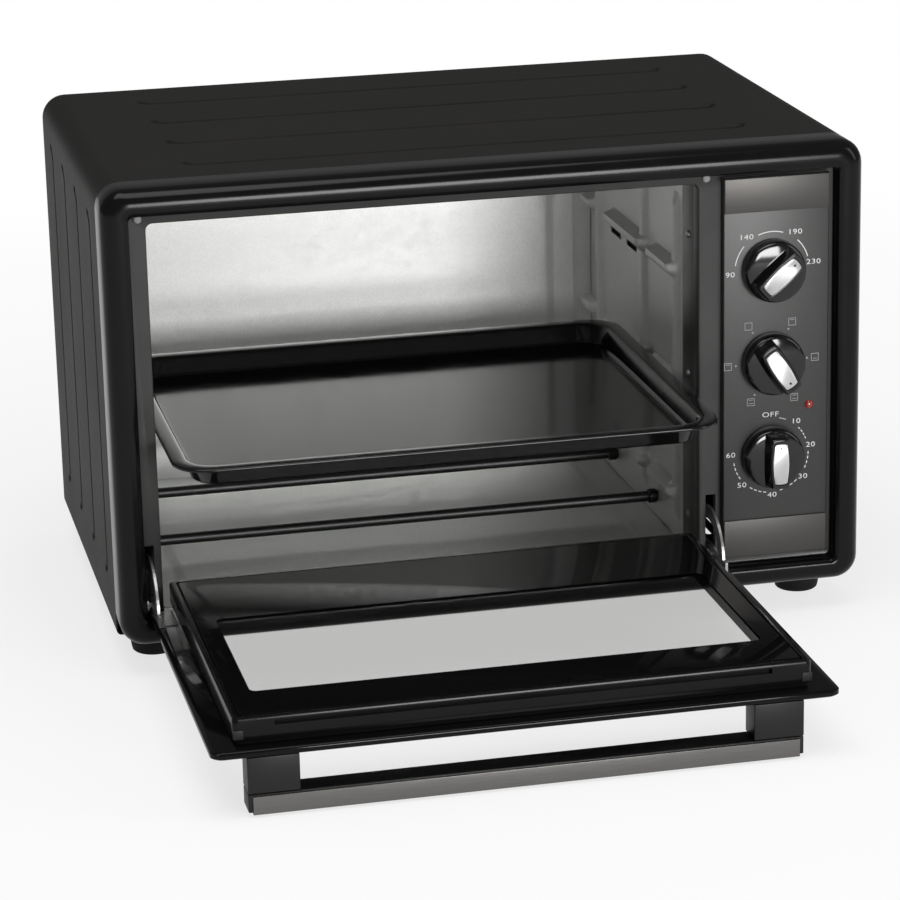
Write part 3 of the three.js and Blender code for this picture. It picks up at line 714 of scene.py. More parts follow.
def bezel_piece():
    crest = [(0, 14), (0, 6), (0, -3.5), (0.03, -5.6), (0.1, -7.8), (0.2, -9.7), (0.34, -11.1), (0.5, -11.8),
             (0.66, -12), (0.8, -11.9), (0.9, -11.4), (0.97, -10.5), (1, -9.2), (1, -5), (1, -0.7)]
    rings = [bezel_ring(share, y * MM) for share, y in crest]
    rings += [bezel_ring(1, -0.2 * MM, 0.2 * MM), bezel_ring(1, 0, 0.6 * MM)]
    rings += [mouth_ring(1.0 * MM, 0), mouth_ring(0.3 * MM, 0.3 * MM), mouth_ring(0, 1.0 * MM)]
    rings += [mouth_ring(0, 10 * MM), mouth_ring(0.9 * MM, 10 * MM), mouth_ring(0.9 * MM, 2 * MM)]
    rings += [bezel_ring(1, 2 * MM), bezel_ring(1, 2 * MM, -2 * MM), bezel_ring(0.8, -8 * MM)]
    rings += [bezel_ring(0.2, -5 * MM, 0.5 * MM), bezel_ring(0, 4 * MM, 2.5 * MM)]
    rings += [bezel_ring(0, 14 * MM, 2.5 * MM)]
    piece = loft("front_bezel", rings, bezel_black, "housing", True,
                 replaces=["front_frame"], sharp=30, slot="bezel_gloss")
    pockets = []
    for side in (-1, 1):
        near, far = sorted(mouth_middle + side * HINGE_POCKET[edge] for edge in ("near", "far"))
        pockets.append(((near, FLANGE_Y - 1 * MM, HINGE_POCKET["low"]),
                        (far, FLANGE_Y + 3 * MM, HINGE_POCKET["high"])))
    cut_away(piece, pockets)
    piece.data.materials.append(flange_black.material)
    for face in piece.data.polygons:
        at = face.center
        in_recess = recess_x[0] < at.x < recess_x[1] and recess_z[0] < at.z < recess_z[1]
        if in_recess and at.y > FLANGE_Y - 1.5 * MM:
            face.material_index = 1
    smooth(piece, 30)


bezel_piece()
print("mouth, mm:", [round((b - a) / MM) for a, b in (mouth_x, mouth_z)])

# %% [markdown]
# ## The cavity
#
# The side walls are pressed sheets. Flat bands carry the tray, and upright beads stiffen the wall
# between them. Each wall is a fine grid whose height is worked out by a formula for every point:
# a band is a trapezoid, a bead is half a circle, and the higher of the two wins.

# %% Pressed side walls
floor_low, floor_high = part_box("cavity_floor")
roof_low, roof_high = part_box("cavity_roof")
back_low, back_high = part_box("cavity_back_wall")
SIDES = {-1: "left", 1: "right"}
SHEET = 0.6 * MM
WALL_HALF = 161.95 * MM
DEPTH = back_low.y - FLANGE_Y
RUNNERS = {"tops": [66 * MM, 135 * MM, 204 * MM], "height": 12 * MM, "reach": 7.7 * MM}
RUNNER_SPANS = [(0.18, 0.39), (0.43, 0.755), (0.855, 0.98)]
BEADS = [54 * MM, 124 * MM, 227 * MM]
BEAD_HALF = 5.5 * MM
BEAD_RISE = 3.2 * MM
SLOT_SHARES = (0.54, 0.68)
SLOT_SIZE = (23 * MM, 4 * MM)


def ramp_up(inside, run):
    return np.clip(inside / run, 0, 1)


def wall_height(y, z):
    """How far the wall stands into the cavity at each point (y from the flange)."""
    height = np.zeros_like(y)
    for start, end in RUNNER_SPANS:
        for top in RUNNERS["tops"]:
            bottom = top - RUNNERS["height"]
            ends = ramp_up(np.minimum(y - start * DEPTH, end * DEPTH - y), 6 * MM)
            band = ramp_up(top - z, 1.6 * MM) * ramp_up(z - bottom, 6 * MM)
            height = np.maximum(height, RUNNERS["reach"] * ends * band)
    upright = ramp_up(np.minimum(z - 44 * MM, 246 * MM - z), 8 * MM)
    for bead in BEADS:
        across = np.clip(1 - ((y - bead) / BEAD_HALF) ** 2, 0, 1) ** 0.5
        height = np.maximum(height, BEAD_RISE * across * upright)
    return height


def side_wall(side):
    columns, rows = 150, 190
    ys = np.linspace(2.5 * MM, DEPTH - 0.4 * MM, columns)
    zs = np.linspace(floor_high.z + 0.2 * MM, roof_low.z - 0.2 * MM, rows)
    y, z = np.meshgrid(ys, zs)
    base = mouth_middle + side * WALL_HALF
    x = base - side * wall_height(y, z)
    points = np.stack([x, y + FLANGE_Y, z], -1).reshape(-1, 3)
    slot_top = RUNNERS["tops"][-1] - RUNNERS["height"] - 1 * MM
    faces = []
    for r in range(rows - 1):
        for c in range(columns - 1):
            my, mz = (ys[c] + ys[c + 1]) / 2, (zs[r] + zs[r + 1]) / 2
            open_here = side > 0 and slot_top - SLOT_SIZE[1] < mz < slot_top and any(
                share * DEPTH < my < share * DEPTH + SLOT_SIZE[0] for share in SLOT_SHARES)
            if not open_here:
                a = r * columns + c
                faces.append((a, a + 1, a + columns + 1, a + columns))
    piece = new_piece(f"pressed_wall_{SIDES[side]}", points, faces, galvanised, "housing",
                      [f"cavity_{SIDES[side]}_wall"], 60, "galvanised_sheet")
    if piece.data.polygons[0].normal.x * side > 0:
        piece.data.flip_normals()
    thicken(piece, SHEET)
    piece.data.shade_smooth()


for side in SIDES:
    side_wall(side)
print("runner bands per wall:", len(RUNNER_SPANS) * len(RUNNERS["tops"]))

# %% [markdown]
# The back wall, the floor and the roof are pressed too. The back wall has one large shallow panel,
# which is a loft of rounded rectangles that steps inwards, and the corners where it meets the side
# walls are folded at a slant.

# %% Back wall, floor and roof
def stepped_sheet(name, ring, steps, node):
    """A flat sheet with a shallow raised panel: ring(inset, rise) gives each outline."""
    rings = [ring(inset * MM, rise * MM) for inset, rise in steps]
    count = len(rings[0])
    faces = loft_faces(count, len(rings), False)[:-2]
    faces.append(tuple(range((len(rings) - 1) * count, len(rings) * count)))
    points = [p for r in rings for p in r]
    piece = new_piece(name, points, faces, galvanised, "housing", [node], 50, "galvanised_sheet")
    thicken(piece, SHEET, 0)
    smooth(piece, 50)


def back_ring(inset, rise):
    x, z = grow((back_low.x, back_high.x), -inset), grow((back_low.z, back_high.z), -inset)
    return [(u, back_low.y + 0.4 * MM - rise, v) for u, v in outline(x, z, 2 * MM + inset / 3)]


def level_ring(low, high, sign):
    def ring(inset, rise):
        return level_outline(low, high, inset, (low.z + high.z) / 2 + sign * rise, 2 * MM + inset / 3)
    return ring


PANEL_STEPS = [(0, 0), (22, 0), (24, 0.3), (27, 1.8), (29, 2.1)]
FLOOR_STEPS = [(0, 0), (20, 0), (22, 0.3), (25, 1.4), (27, 1.7)]
stepped_sheet("pressed_back", back_ring, PANEL_STEPS, "cavity_back_wall")
stepped_sheet("pressed_floor", level_ring(floor_low, floor_high, 1), FLOOR_STEPS, "cavity_floor")
stepped_sheet("pressed_roof", level_ring(roof_low, roof_high, -1), FLOOR_STEPS, "cavity_roof")


def corner_fold(side):
    """The slanted fold where a side wall meets the back wall."""
    x = mouth_middle + side * WALL_HALF
    y = back_low.y
    reach, run = 9 * MM, 12 * MM
    section = [(x - side * 0.4 * MM, y - run), (x - side * reach, y - 0.5 * MM),
               (x - side * reach, y - 0.1 * MM), (x - side * 0.1 * MM, y - 0.1 * MM)]
    rings = [[(u, v, z) for u, v in section] for z in (floor_high.z + 2.4 * MM, roof_low.z - 2.4 * MM)]
    piece = loft(f"back_fold_{SIDES[side]}", rings, galvanised, "housing", slot="galvanised_sheet")
    soften(piece, 0.3 * MM, 2)


for side in SIDES:
    corner_fold(side)
print("cavity depth, mm:", round(DEPTH / MM))

# %% [markdown]
# The heating elements are steel tubes, darkened by heat, with a collar where they pass each wall.
# The CAD nodes are faceted, so each is turned again here with a smooth round section.

# %% Heating elements and screws in the mouth
def element(node):
    low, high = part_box(node)
    centre = (0, (low.y + high.y) / 2, (low.z + high.z) / 2)
    tube, collar = 3.2 * MM, 4.4 * MM
    inner = (mouth_middle - WALL_HALF + 0.9 * MM, mouth_middle + WALL_HALF - 0.9 * MM)
    profile = [(0, low.x), (tube, low.x), (tube, inner[0])]
    profile += [(collar - 0.5 * MM, inner[0]), (collar, inner[0] + 0.5 * MM), (collar, inner[0] + 4.5 * MM)]
    profile += [(tube, inner[0] + 5.4 * MM), (tube, inner[1] - 5.4 * MM), (collar, inner[1] - 4.5 * MM)]
    profile += [(collar, inner[1] - 0.5 * MM), (collar - 0.5 * MM, inner[1]), (tube, inner[1])]
    profile += [(tube, high.x), (0, high.x)]
    turned(node + "_tube", profile, centre, hot_tube, "housing", "X", 24,
           replaces=[node], slot="element_steel")


for row in ("front", "rear"):
    for level in ("lower", "upper"):
        element(f"{level}_{row}_element")


RETURN_DEPTH = 33 * MM
SCREW_HEIGHTS = (58 * MM, 144 * MM, 228 * MM)


def mouth_returns():
    """The black flanges that join the mouth to the cavity walls, and a black plate behind the air slots,
    standing in for the shade of the space behind them.
    """
    for side, word in SIDES.items():
        edge = mouth_x[1] if side > 0 else mouth_x[0]
        x = sorted((edge + side * 0.1 * MM, edge + side * 1.6 * MM))
        low = (x[0], FLANGE_Y + 10.2 * MM, mouth_z[0] + 0.3 * MM)
        high = (x[1], FLANGE_Y + RETURN_DEPTH, mouth_z[1] - 0.3 * MM)
        eased_block(f"mouth_return_{word}", low, high, flange_black, "housing", 0.4 * MM, slot="bezel_gloss")
    # Painted shade: a black sheet behind the air slots, where the real oven has only shaded space.
    low = (wall_outside, FLANGE_Y + 130 * MM, 175 * MM)
    high = (wall_outside + 0.8 * MM, FLANGE_Y + 215 * MM, 200 * MM)
    eased_block("slot_shade_plate", low, high, flange_black, "housing", 0.2 * MM, slot="plain_steel")


wall_outside = mouth_middle + WALL_HALF + 2.2 * MM
mouth_returns()


def mouth_screws():
    """Small domed screws through the black flanges, one column on each side."""
    for side, word in SIDES.items():
        face = mouth_x[1] if side > 0 else mouth_x[0]
        for i, z in enumerate(SCREW_HEIGHTS):
            dome = arc_profile((0, 0), 2.4 * MM, 0, 90, 5)
            profile = [(0, face - side * 0.01 * MM)]
            profile += [(r, face - side * (a * 0.55 + 0.05 * MM)) for r, a in dome]
            turned(f"mouth_screw_{word}_{i + 1}", profile, (0, FLANGE_Y + 20 * MM, z), plated_steel,
                   "housing", "X", 20, slot="plain_steel")


mouth_screws()
print("elements:", 4, "mouth screws:", 6)

# %% [markdown]
# ## The baking tray
#
# The tray is pressed from one sheet and enamelled. A stack of rounded rectangles goes up the
# outside, over the rolled rim and down the inside. The rim is what shows most: it is flat, with
# a rounded outer edge that rolls under.

# %% Baking tray
def tray_piece():
    """Each ring is (inset from the edge, place below the rim, corner radius), in millimetres."""
    low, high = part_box("baking_tray")
    rim, slope, drop = 9, 2.6, 13
    foot = rim + slope
    outside = [
        (foot + 5, -drop, 12), (foot + 2.5, -drop, 14), (foot + 1.1, -drop + 0.4, 14.6),
        (foot, -drop + 1.5, 15), (rim + 0.4, -3, 17), (rim - 0.5, -1.7, 17.8), (rim - 1.7, -1.05, 18.4),
    ]
    rolled_edge = [
        (1.5, -1.0, 20), (0.9, -1.3, 20.5), (0.55, -1.8, 20.8), (0.15, -1.9, 21),
        (0, -1.4, 21), (0.1, -0.6, 21), (0.5, -0.15, 20.8), (1.2, 0, 20.5),
    ]
    inside = [
        (rim - 2, 0, 18.2), (rim - 0.6, -0.25, 17.6), (rim + 0.4, -0.9, 17.2), (rim + 1.3, -1.9, 16.8),
        (foot + 0.2, -drop + 3.0, 15.2), (foot + 1.2, -drop + 1.8, 14.8),
        (foot + 2.6, -drop + 1.15, 14.4), (foot + 4.5, -drop + 1, 14), (rim + 30, -drop + 1, 10),
    ]
    rings = [level_outline(low, high, inset * MM, high.z + z * MM, radius * MM, 12)
             for inset, z, radius in outside + rolled_edge + inside]
    return loft("enamel_tray", rings, enamel, "tray", replaces=["baking_tray"], sharp=60, slot="enamel")


tray = tray_piece()
print("tray faces:", len(tray.data.polygons))

# %% [markdown]
# ## The door
#
# The door is a black moulded frame between two panes of glass. Its near wall, the top of the door
# when it is shut, has a long slot that lets the air between the panes rise, a groove along its
# foot, and a folded bracket at each corner.

# %% Door panes and inner frame
def glass_sheet(name, node, glass, radius, ease):
    low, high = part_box(node)
    levels = [(ease, low.z), (0, low.z + ease), (0, high.z - ease), (ease, high.z)]
    rings = [level_outline(low, high, inset, z, radius) for inset, z in levels]
    return loft(name, rings, glass, "door", replaces=[node], sharp=50, slot="door_glass")


outer = glass_sheet("outer_panel_glass", "door_outer_panel", outer_glass, 6 * MM, 0.8 * MM)
HINGE_NOTCH = (162.5 * MM, 190 * MM)
notches = []
for side in SIDES:
    near, far = sorted(mouth_middle + side * edge for edge in HINGE_NOTCH)
    notches.append(((near, FLANGE_Y - 8 * MM, 30 * MM), (far, FLANGE_Y + 1 * MM, 40 * MM)))
cut_away(outer, notches)
glass_sheet("inner_pane_glass", "door_inner_pane", inner_glass, 3 * MM, 0.35 * MM)


def door_frame():
    low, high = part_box("door_inner_frame")
    base, top = low.z, high.z
    wall = 10 * MM
    rebate = top - 1.9 * MM
    levels = [
        (wall, base, 3), (1.6 * MM, base, 3), (1.6 * MM, base + 1.6 * MM, 3), (0.2 * MM, base + 2.2 * MM, 3),
        (0, base + 2.8 * MM, 3), (0, top - 1.4 * MM, 3), (0.4 * MM, top - 0.4 * MM, 3), (1.2 * MM, top, 3),
        (3.4 * MM, top, 2.4), (3.9 * MM, top - 0.4 * MM, 2), (3.9 * MM, rebate, 2), (wall, rebate, 2),
    ]
    rings = [level_outline(low, high, inset, z, radius * MM) for inset, z, radius in levels]
    piece = loft("door_frame", rings, bezel_black, "door", True, replaces=["door_inner_frame"],
                 sharp=35, slot="moulding")
    slot_x = grow((low.x, high.x), -22 * MM)
    slot_low = (slot_x[0], low.y - 1 * MM, top - 5.0 * MM)
    slot_high = (slot_x[1], low.y + 3.2 * MM, top - 2.1 * MM)
    cut_away(piece, [(slot_low, slot_high)])
    smooth(piece, 35)
    return low, high


frame_low, frame_high = door_frame()


def corner_brackets():
    """Small folded plates on the near corners of the door frame."""
    for side, x in ((-1, frame_low.x), (1, frame_high.x)):
        inner = x - side * 5.5 * MM
        low = (min(x, inner), frame_low.y - 0.5 * MM, frame_low.z + 3.4 * MM)
        high = (max(x, inner), frame_low.y - 0.02 * MM, frame_low.z + 8.4 * MM)
        eased_block(f"door_corner_{SIDES[side]}", low, high, satin_black, "door", 0.2 * MM, slot="moulding")


corner_brackets()
print("door, mm:", [round((b - a) / MM) for a, b in zip(door_low, door_high)])

# %% [markdown]
# The handle is a bar on two posts. A strip of brushed steel wraps the bar's outer corner, and it
# stops short of the posts' ends, which cap it. When the door hangs open the strip faces forwards.

# %% Handle
bar_low, bar_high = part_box("handle_bar")
strip_low, strip_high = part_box("handle_strip")
for word in ("left", "right"):
    low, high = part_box(f"handle_post_{word}")
    eased_block(f"post_{word}", low, high, satin_black, "door", 0.7 * MM,
                replaces=[f"handle_post_{word}"], slot="moulding")
eased_block("grip_bar", bar_low, bar_high, satin_black, "door", 0.6 * MM,
            replaces=["handle_bar"], slot="moulding")


def steel_strip():
    cap = 1.8 * MM
    near, low = strip_low.y, strip_low.z
    thick = 0.8 * MM
    far, high = strip_high.y, strip_high.z
    section = [
        (near + 0.5 * MM, low), (far, low), (far, low + thick), (near + thick, low + thick),
        (near + thick, high), (near + 0.15 * MM, high), (near, high - 0.15 * MM),
        (near, low + 0.5 * MM), (near + 0.15 * MM, low + 0.15 * MM),
    ]
    rings = [[(x, y, z) for y, z in section] for x in (strip_low.x + cap, strip_high.x - cap)]
    piece = loft("steel_strip", rings, strip_steel, "door", replaces=["handle_strip"],
                 sharp=35, slot="brushed_steel")
    return soften(piece, 0.12 * MM, 2)


steel_strip()
print("handle length, mm:", round((bar_high.x - bar_low.x) / MM))

# %% [markdown]
# ## The controls
#
# The panel is a satin plastic plate with a grained metal trim at its top and bottom.

# %% Panel plates
eased_block("panel_plate", panel_low, panel_high, panel_grey, "housing", 0.7 * MM,
            replaces=["control_panel"], slot="panel_plastic")
for node in ("upper_trim_plate", "lower_trim_plate"):
    low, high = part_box(node)
    eased_block(node.replace("plate", "metal"), low, (high.x, panel_low.y + 0.05 * MM, high.z), trim_steel,
                "housing", 0.25 * MM, replaces=[node], slot="trim_metal")

knob_boxes = {name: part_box(f"{name}_shaft") for name in ("temperature", "function", "timer")}
knob_centre = {name: (low + high) / 2 for name, (low, high) in knob_boxes.items()}
INK_Y = panel_low.y
INK = 0.1 * MM
INK_SUNK = 0.02 * MM
DIAL_LETTERS = 4.3 * MM
print("knob heights, mm:", [round(c.z / MM) for c in knob_centre.values()])

# %% [markdown]
# The marks are printed: arcs and numbers for the thermostat, little framed icons for the six
# functions, dashes and minutes for the timer. They are thin raised shapes here, a tenth of a
# millimetre thick.

# %% Printed marks
def ink_plate(name, shapes, ink=print_white):
    """Flat closed shapes, each a list of (x, z), printed on the panel as one piece."""
    points, faces = [], []
    for shape in shapes:
        first, count = len(points), len(shape)
        points += [(x, INK_Y - INK, z) for x, z in shape] + [(x, INK_Y + INK_SUNK, z) for x, z in shape]
        faces.append(tuple(range(first, first + count)))
        faces.append(tuple(range(first + 2 * count - 1, first + count - 1, -1)))
        faces += [(first + i, first + (i + 1) % count, first + count + (i + 1) % count, first + count + i)
                  for i in range(count)]
    new_piece(name, points, faces, ink, "housing", slot="satin_silver")


def on_dial(centre, radius, degrees):
    angle = math.radians(degrees)
    return centre.x + radius * math.cos(angle), centre.z + radius * math.sin(angle)


def arc_band(centre, radius, start, end, width, steps=10):
    """The outline of a band along an arc: out along one edge and back along the other."""
    angles = [start + (end - start) * i / steps for i in range(steps + 1)]
    outer = [on_dial(centre, radius + width / 2, a) for a in angles]
    inner = [on_dial(centre, radius - width / 2, a) for a in reversed(angles)]
    return outer + inner


def number(name, text, x, z):
    """Generic dial lettering, set in Blender's own font and turned into a thin mesh."""
    curve = bpy.data.curves.new(name, "FONT")
    curve.body = text
    curve.size = DIAL_LETTERS
    curve.space_character = 1.08
    curve.align_x = "CENTER"
    curve.align_y = "CENTER"
    curve.extrude = INK / 2
    curve.resolution_u = 3
    words = bpy.data.objects.new(name + "_words", curve)
    link(words)
    upright = Matrix.Rotation(math.pi / 2, 4, "X") @ Matrix.Diagonal((1.3, 1, 1, 1))
    words.matrix_world = Matrix.Translation((x, INK_Y - INK / 2, z)) @ upright
    bpy.context.view_layer.update()
    mesh = bpy.data.meshes.new_from_object(words.evaluated_get(bpy.context.evaluated_depsgraph_get()))
    mesh.transform(words.matrix_world)
    weld(mesh)
    bpy.data.objects.remove(words)
    piece = bpy.data.objects.new(name, mesh)
    link(piece)
    dress(piece, print_white, "housing", slot="satin_silver")


def temperature_marks():
    centre = knob_centre["temperature"]
    labels = {"90": 184, "140": 128, "190": 57, "230": 6}
    for text, degrees in labels.items():
        x, z = on_dial(centre, 25.2 * MM, degrees)
        number(f"mark_{text}_degrees", text, x, z)
    arcs = [(171, 139), (112, 73), (47, 16)]
    ink_plate("temperature_arcs", [arc_band(centre, 22.3 * MM, a, b, 0.55 * MM) for a, b in arcs])


def function_marks():
    """Six framed icons, 60 degrees apart, each with a dot towards the knob and up to two small bars."""
    centre = knob_centre["function"]
    half = 2.3 * MM
    line = 0.35 * MM
    dot_radius = 0.6 * MM
    shapes = []
    for i in range(6):
        x, z = on_dial(centre, 26.4 * MM, 122 - 60 * i)
        frame_rings = [[(u, y, v) for u, v in outline((x - r, x + r), (z - r, z + r), 0.1 * MM, 1)]
                       for r, y in ((half, INK_Y - INK), (half - line, INK_Y - INK),
                                    (half - line, INK_Y + INK_SUNK), (half, INK_Y + INK_SUNK))]
        loft(f"function_icon_{i + 1}", frame_rings, print_grey, "housing", True, slot="satin_silver")
        bars = {0: [], 1: [1.0], 2: [-1.0], 3: [1.0, -1.0], 4: [1.0, -1.0], 5: [1.0]}[i]
        sides = [((x - half + 1 * MM, z + b * MM), (x + half - 1 * MM, z + b * MM + line)) for b in bars]
        shapes += [[(a[0], a[1]), (b[0], a[1]), (b[0], b[1]), (a[0], b[1])] for a, b in sides]
        dot = on_dial(centre, 21.6 * MM, 122 - 60 * i)
        turns = [k * math.pi / 6 for k in range(12)]
        shapes.append([(dot[0] + dot_radius * math.cos(a), dot[1] + dot_radius * math.sin(a))
                       for a in turns])
    ink_plate("function_marks", shapes, print_grey)


def timer_marks():
    centre = knob_centre["timer"]
    stops = [("OFF", 91), ("10", 52), ("20", 10), ("30", -37), ("40", -88), ("50", -136), ("60", -184)]
    for text, degrees in stops:
        x, z = on_dial(centre, 24.6 * MM, degrees)
        number(f"mark_{text}_minutes", text, x, z)
    dashes = []
    for (_, start), (_, end) in zip(stops, stops[1:]):
        gap = 9 if start < 90 else 14
        sweep = end - start + 2 * gap
        for k in range(4):
            a = start - gap + sweep * k / 4
            dashes.append(arc_band(centre, 22.8 * MM, a, a + sweep / 4 * 0.6, 0.55 * MM, 3))
    ink_plate("timer_dashes", dashes)


temperature_marks()
function_marks()
timer_marks()
print("printed labels:", 11)

# %% [markdown]
# Each knob is a turned disc with a gently crowned face, crossed by a tall grip whose sides bulge. A
# satin silver plate is let into the top of the grip, with a dot at the end that points. The disc is
# turned, the grip is a loft of barrel outlines, and both turn together with the dial.

# %% Knobs
REST_TURNS = {"temperature": 49, "function": 147, "timer": 0}


def barrel(half_width, half_length, bulge, steps=10):
    """A bar outline in (x, z) whose long sides bulge, with the ends slightly rounded."""
    side = [(half_width + bulge * (1 - t * t), half_length * t) for t in np.linspace(-1, 1, steps)]
    end = [(half_width * math.cos(a), half_length + 0.9 * MM * math.sin(a))
           for a in np.linspace(0, math.pi, steps)][1:-1]
    half = side + end
    return half + [(-x, -z) for x, z in half]


def turned_outline(name, points, y):
    centre = knob_centre[name]
    angle = math.radians(REST_TURNS[name])
    c, s = math.cos(angle), math.sin(angle)
    return [(centre.x + x * c + z * s, y, centre.z + z * c - x * s) for x, z in points]


def barrel_rings(name, levels):
    """Each level is (half width, half length, bulge, y), the first three in millimetres."""
    return [turned_outline(name, barrel(w * MM, l * MM, b * MM), y) for w, l, b, y in levels]


def knob(name):
    low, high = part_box(f"{name}_knob")
    back, front = high.y, low.y
    radius = 18.4 * MM
    centre = (knob_centre[name].x, 0, knob_centre[name].z)
    body = f"{name}_dial"
    face = back - 8.8 * MM
    face_radius = radius - 2.1 * MM
    crown = 1.5 * MM
    crown_radii = [face_radius * k / 8 for k in range(7, -1, -1)]
    profile = [(0, back), (radius - 0.6 * MM, back), (radius, back - 0.6 * MM)]
    profile += [(radius - 0.25 * MM, face + 3 * MM), (radius - 0.6 * MM, face + 1.2 * MM)]
    profile += [(radius - 1.3 * MM, face + 0.3 * MM), (face_radius, face)]
    profile += [(r, face - crown * (1 - (r / face_radius) ** 2)) for r in crown_radii]
    turned(f"{name}_disc", profile, centre, knob_black, body, replaces=[f"{name}_knob"],
           sharp=50, slot="knob_gloss")
    grip = [
        (6.9, 15.6, 1.0, face + 2.4 * MM), (6.2, 15.3, 1.2, face - 1 * MM),
        (5.6, 14.9, 1.2, front + 5 * MM), (5.3, 14.5, 1.1, front + 1.4 * MM),
        (5.1, 14.2, 1.1, front + 0.5 * MM), (4.7, 13.7, 1.1, front + 0.1 * MM), (4.4, 13.2, 1.1, front),
        (4.1, 11.9, 1.1, front + 0.1 * MM), (4.0, 11.7, 1.1, front + 0.7 * MM),
    ]
    loft(f"{name}_grip", barrel_rings(name, grip), knob_black, body, sharp=50, slot="knob_gloss")
    plate = [
        (3.85, 11.3, 1.05, front + 0.6 * MM), (3.85, 11.3, 1.05, front + 0.1 * MM),
        (3.6, 11.0, 1.05, front - 0.15 * MM),
    ]
    loft(f"{name}_silver_plate", barrel_rings(name, plate), insert_silver, body,
         replaces=[f"{name}_knob_insert"], sharp=40, slot="satin_silver")
    dot = turned_outline(name, [(0, 9.6 * MM)], front - 0.14 * MM)[0]
    profile = [(0, 0.1 * MM), (0.75 * MM, 0.1 * MM), (0.7 * MM, -0.08 * MM), (0, -0.1 * MM)]
    turned(f"{name}_pointer_dot", profile, dot, satin_black, body, segments=16, slot="knob_gloss")


for name in REST_TURNS:
    knob(name)
print("knobs turned:", REST_TURNS)

# %% [markdown]
# ## Small parts
#
# The lamp is a domed red lens. The bumpers that stop the door are pale silicone buttons. The feet
# are moulded, with a rounded foot and a slight taper.

# %% Lens, bumpers, feet
def lamp_lens():
    low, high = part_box("indicator_lens")
    radius = (high.x - low.x) / 2
    bulge = 1.8 * MM
    centre = ((low.x + high.x) / 2, 0, (low.z + high.z) / 2)
    quarter = np.linspace(0, math.pi / 2, 8)
    dome = [(radius * math.cos(a), panel_low.y - bulge * math.sin(a)) for a in quarter]
    turned("lamp_lens", [(0, high.y), (radius, high.y)] + dome, centre, lens_red, "housing", segments=32,
           replaces=["indicator_lens"], slot="red_lens")


def door_bumper(side):
    low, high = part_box(f"door_bumper_{side}")
    radius = (high.x - low.x) / 2
    bulge = 1.1 * MM
    centre = ((low.x + high.x) / 2, 0, (low.z + high.z) / 2)
    quarter = np.linspace(0, math.pi / 2, 7)
    dome = [(radius * math.cos(a) ** 0.6, low.y + bulge - bulge * math.sin(a)) for a in quarter]
    turned(f"bumper_{side}", [(0, high.y), (radius, high.y)] + dome, centre, bumper_rubber, "housing",
           segments=32, replaces=[f"door_bumper_{side}"], slot="pale_rubber")


def foot(row, side):
    low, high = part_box(f"foot_{row}_{side}")
    r = (high.x - low.x) / 2 + 2 * MM
    inwards = -2 * MM if side == "right" else 2 * MM
    centre = ((low.x + high.x) / 2 + inwards, (low.y + high.y) / 2, 0)
    profile = [(0, high.z), (r, high.z), (r - 0.3 * MM, high.z - 6 * MM), (r - 2 * MM, 2 * MM)]
    profile += [(r - 2.4 * MM, 0.8 * MM), (r - 3.2 * MM, 0.15 * MM), (r - 4 * MM, 0), (r - 7 * MM, 0)]
    profile += [(r - 7.6 * MM, 1 * MM), (0, 1 * MM)]
    turned(f"foot_{row}_{side}_moulded", profile, centre, foot_rubber, "housing", "Z", 48,
           replaces=[f"foot_{row}_{side}"], slot="rubber")


lamp_lens()
for side in SIDES.values():
    door_bumper(side)
for row in ("front", "rear"):
    for side in SIDES.values():
        foot(row, side)

# %% [markdown]
# The other CAD nodes are already the right shape: the rear cover, the base, the hinges, the
# springs and the switches. They keep their meshes and take a finish.

# %% Finishes for the CAD nodes that stay
STAYING = {
    powder: ["rear_cover", "base_plate"],
    plated_steel: ["control_bracket", "timer"] + [f"{dial}_shaft" for dial in REST_TURNS]
    + [f"hinge_{part}_{side}" for part in ("bracket", "pin", "spring", "arm") for side in SIDES.values()]
    + [f"rear_screw_{i + 1}" for i in range(4)],
    cream: ["thermostat", "function_switch"],
    foot_rubber: ["cord_gland"],
}
for finish, nodes in STAYING.items():
    for node in nodes:
        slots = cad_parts[node].data.materials
        slots.clear()
        slots.append(finish.material)
print("CAD nodes kept:", sum(len(nodes) for nodes in STAYING.values()))

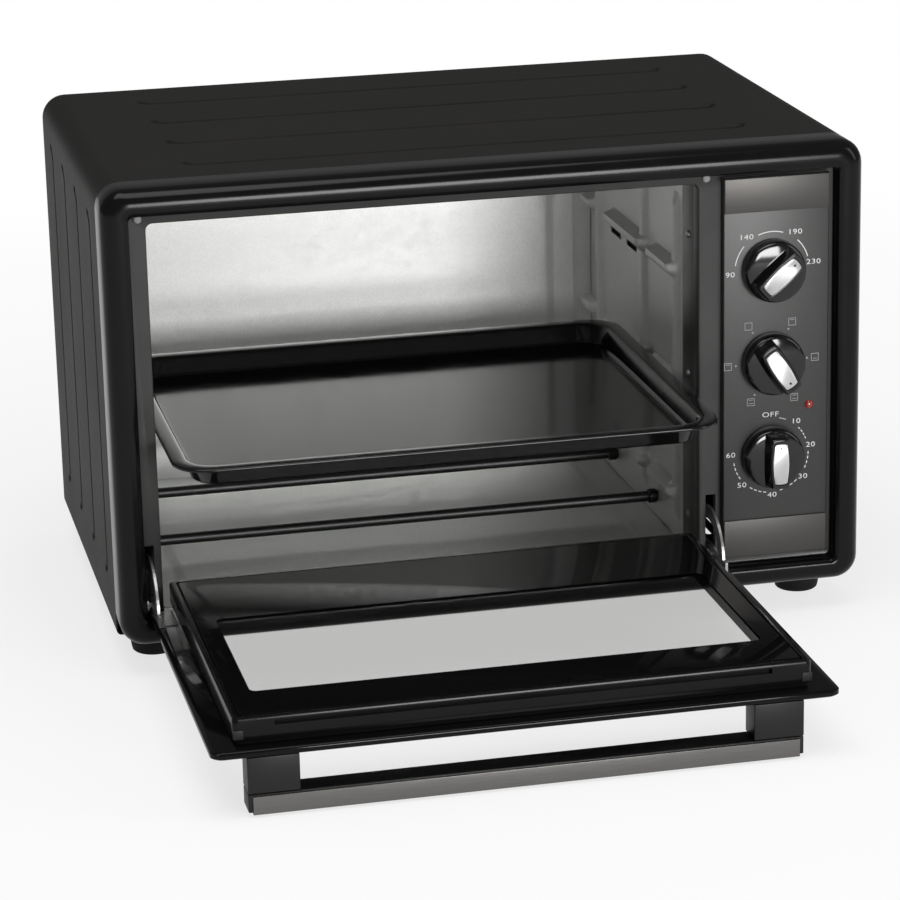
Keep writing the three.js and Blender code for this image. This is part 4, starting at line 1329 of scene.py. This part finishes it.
# %% [markdown]
# ## The studio
#
# A white sweep and soft light. The floor is white to the camera and to glossy and clear rays, but
# it still takes the oven's shadow. Large lamps above and in front draw the long soft highlights
# that black surfaces need to be read at all.

# %% Floor, world and lamps
def white_floor():
    mesh = bpy.data.meshes.new("floor")
    size = 6.0
    corners = [(-size, -size, 0), (size, -size, 0), (size, size, 0), (-size, size, 0)]
    mesh.from_pydata(corners, [], [(0, 1, 2, 3)])
    floor = bpy.data.objects.new("floor", mesh)
    floor.location.z = -0.0005
    link(floor)
    f = Finish("white_sweep", grey(0.8), 0.9)
    x, y, _ = f.axes()
    away = ((x ** 2 + y ** 2) ** 0.5).clear_of(0.75, 0.9)
    seen = f.seen_by("Camera", "Transmission").most(f.seen_by("Glossy") * 0.5)
    glow = f.node("ShaderNodeEmission", values={"Color": (1, 1, 1, 1), "Strength": 1.0})
    share = seen * (away * 0.28 + 0.72)
    mixed = f.node("ShaderNodeMixShader", values={0: share, 1: Wire(f, f.shader.outputs[0]), 2: glow})
    f.tree.links.new(mixed.socket, f.tree.nodes["Material Output"].inputs["Surface"])
    floor.data.materials.append(f.material)


def studio_world():
    world = bpy.data.worlds.new("studio")
    bpy.context.scene.world = world
    world.use_nodes = True
    room = Shading(world.node_tree)
    level = room.seen_by("Camera", "Transmission") * 0.55 - room.seen_by("Glossy") * 0.25 + 0.45
    room.feed(world.node_tree.nodes["Background"], {"Color": (1, 1, 1, 1), "Strength": level})


def soft_lamp(name, place, aim, size, power):
    data = bpy.data.lights.new(name, "AREA")
    data.shape = "RECTANGLE"
    data.size, data.size_y = size
    data.energy = power
    lamp = bpy.data.objects.new(name, data)
    lamp.location = place
    lamp.rotation_euler = (Vector(aim) - Vector(place)).to_track_quat("-Z", "Y").to_euler()
    link(lamp)


white_floor()
studio_world()
soft_lamp("overhead", (-0.3, -0.5, 2.2), (0, 0, 0.1), (1.8, 1.2), 27)
soft_lamp("front", (0.45, -2.25, 0.42), (-0.03, 0, 0.14), (0.9, 0.5), 31)
soft_lamp("right_strip", (1.7, -0.9, 0.9), (0.1, 0, 0.12), (0.35, 1.2), 6)
bpy.context.scene.view_settings.view_transform = "Standard"
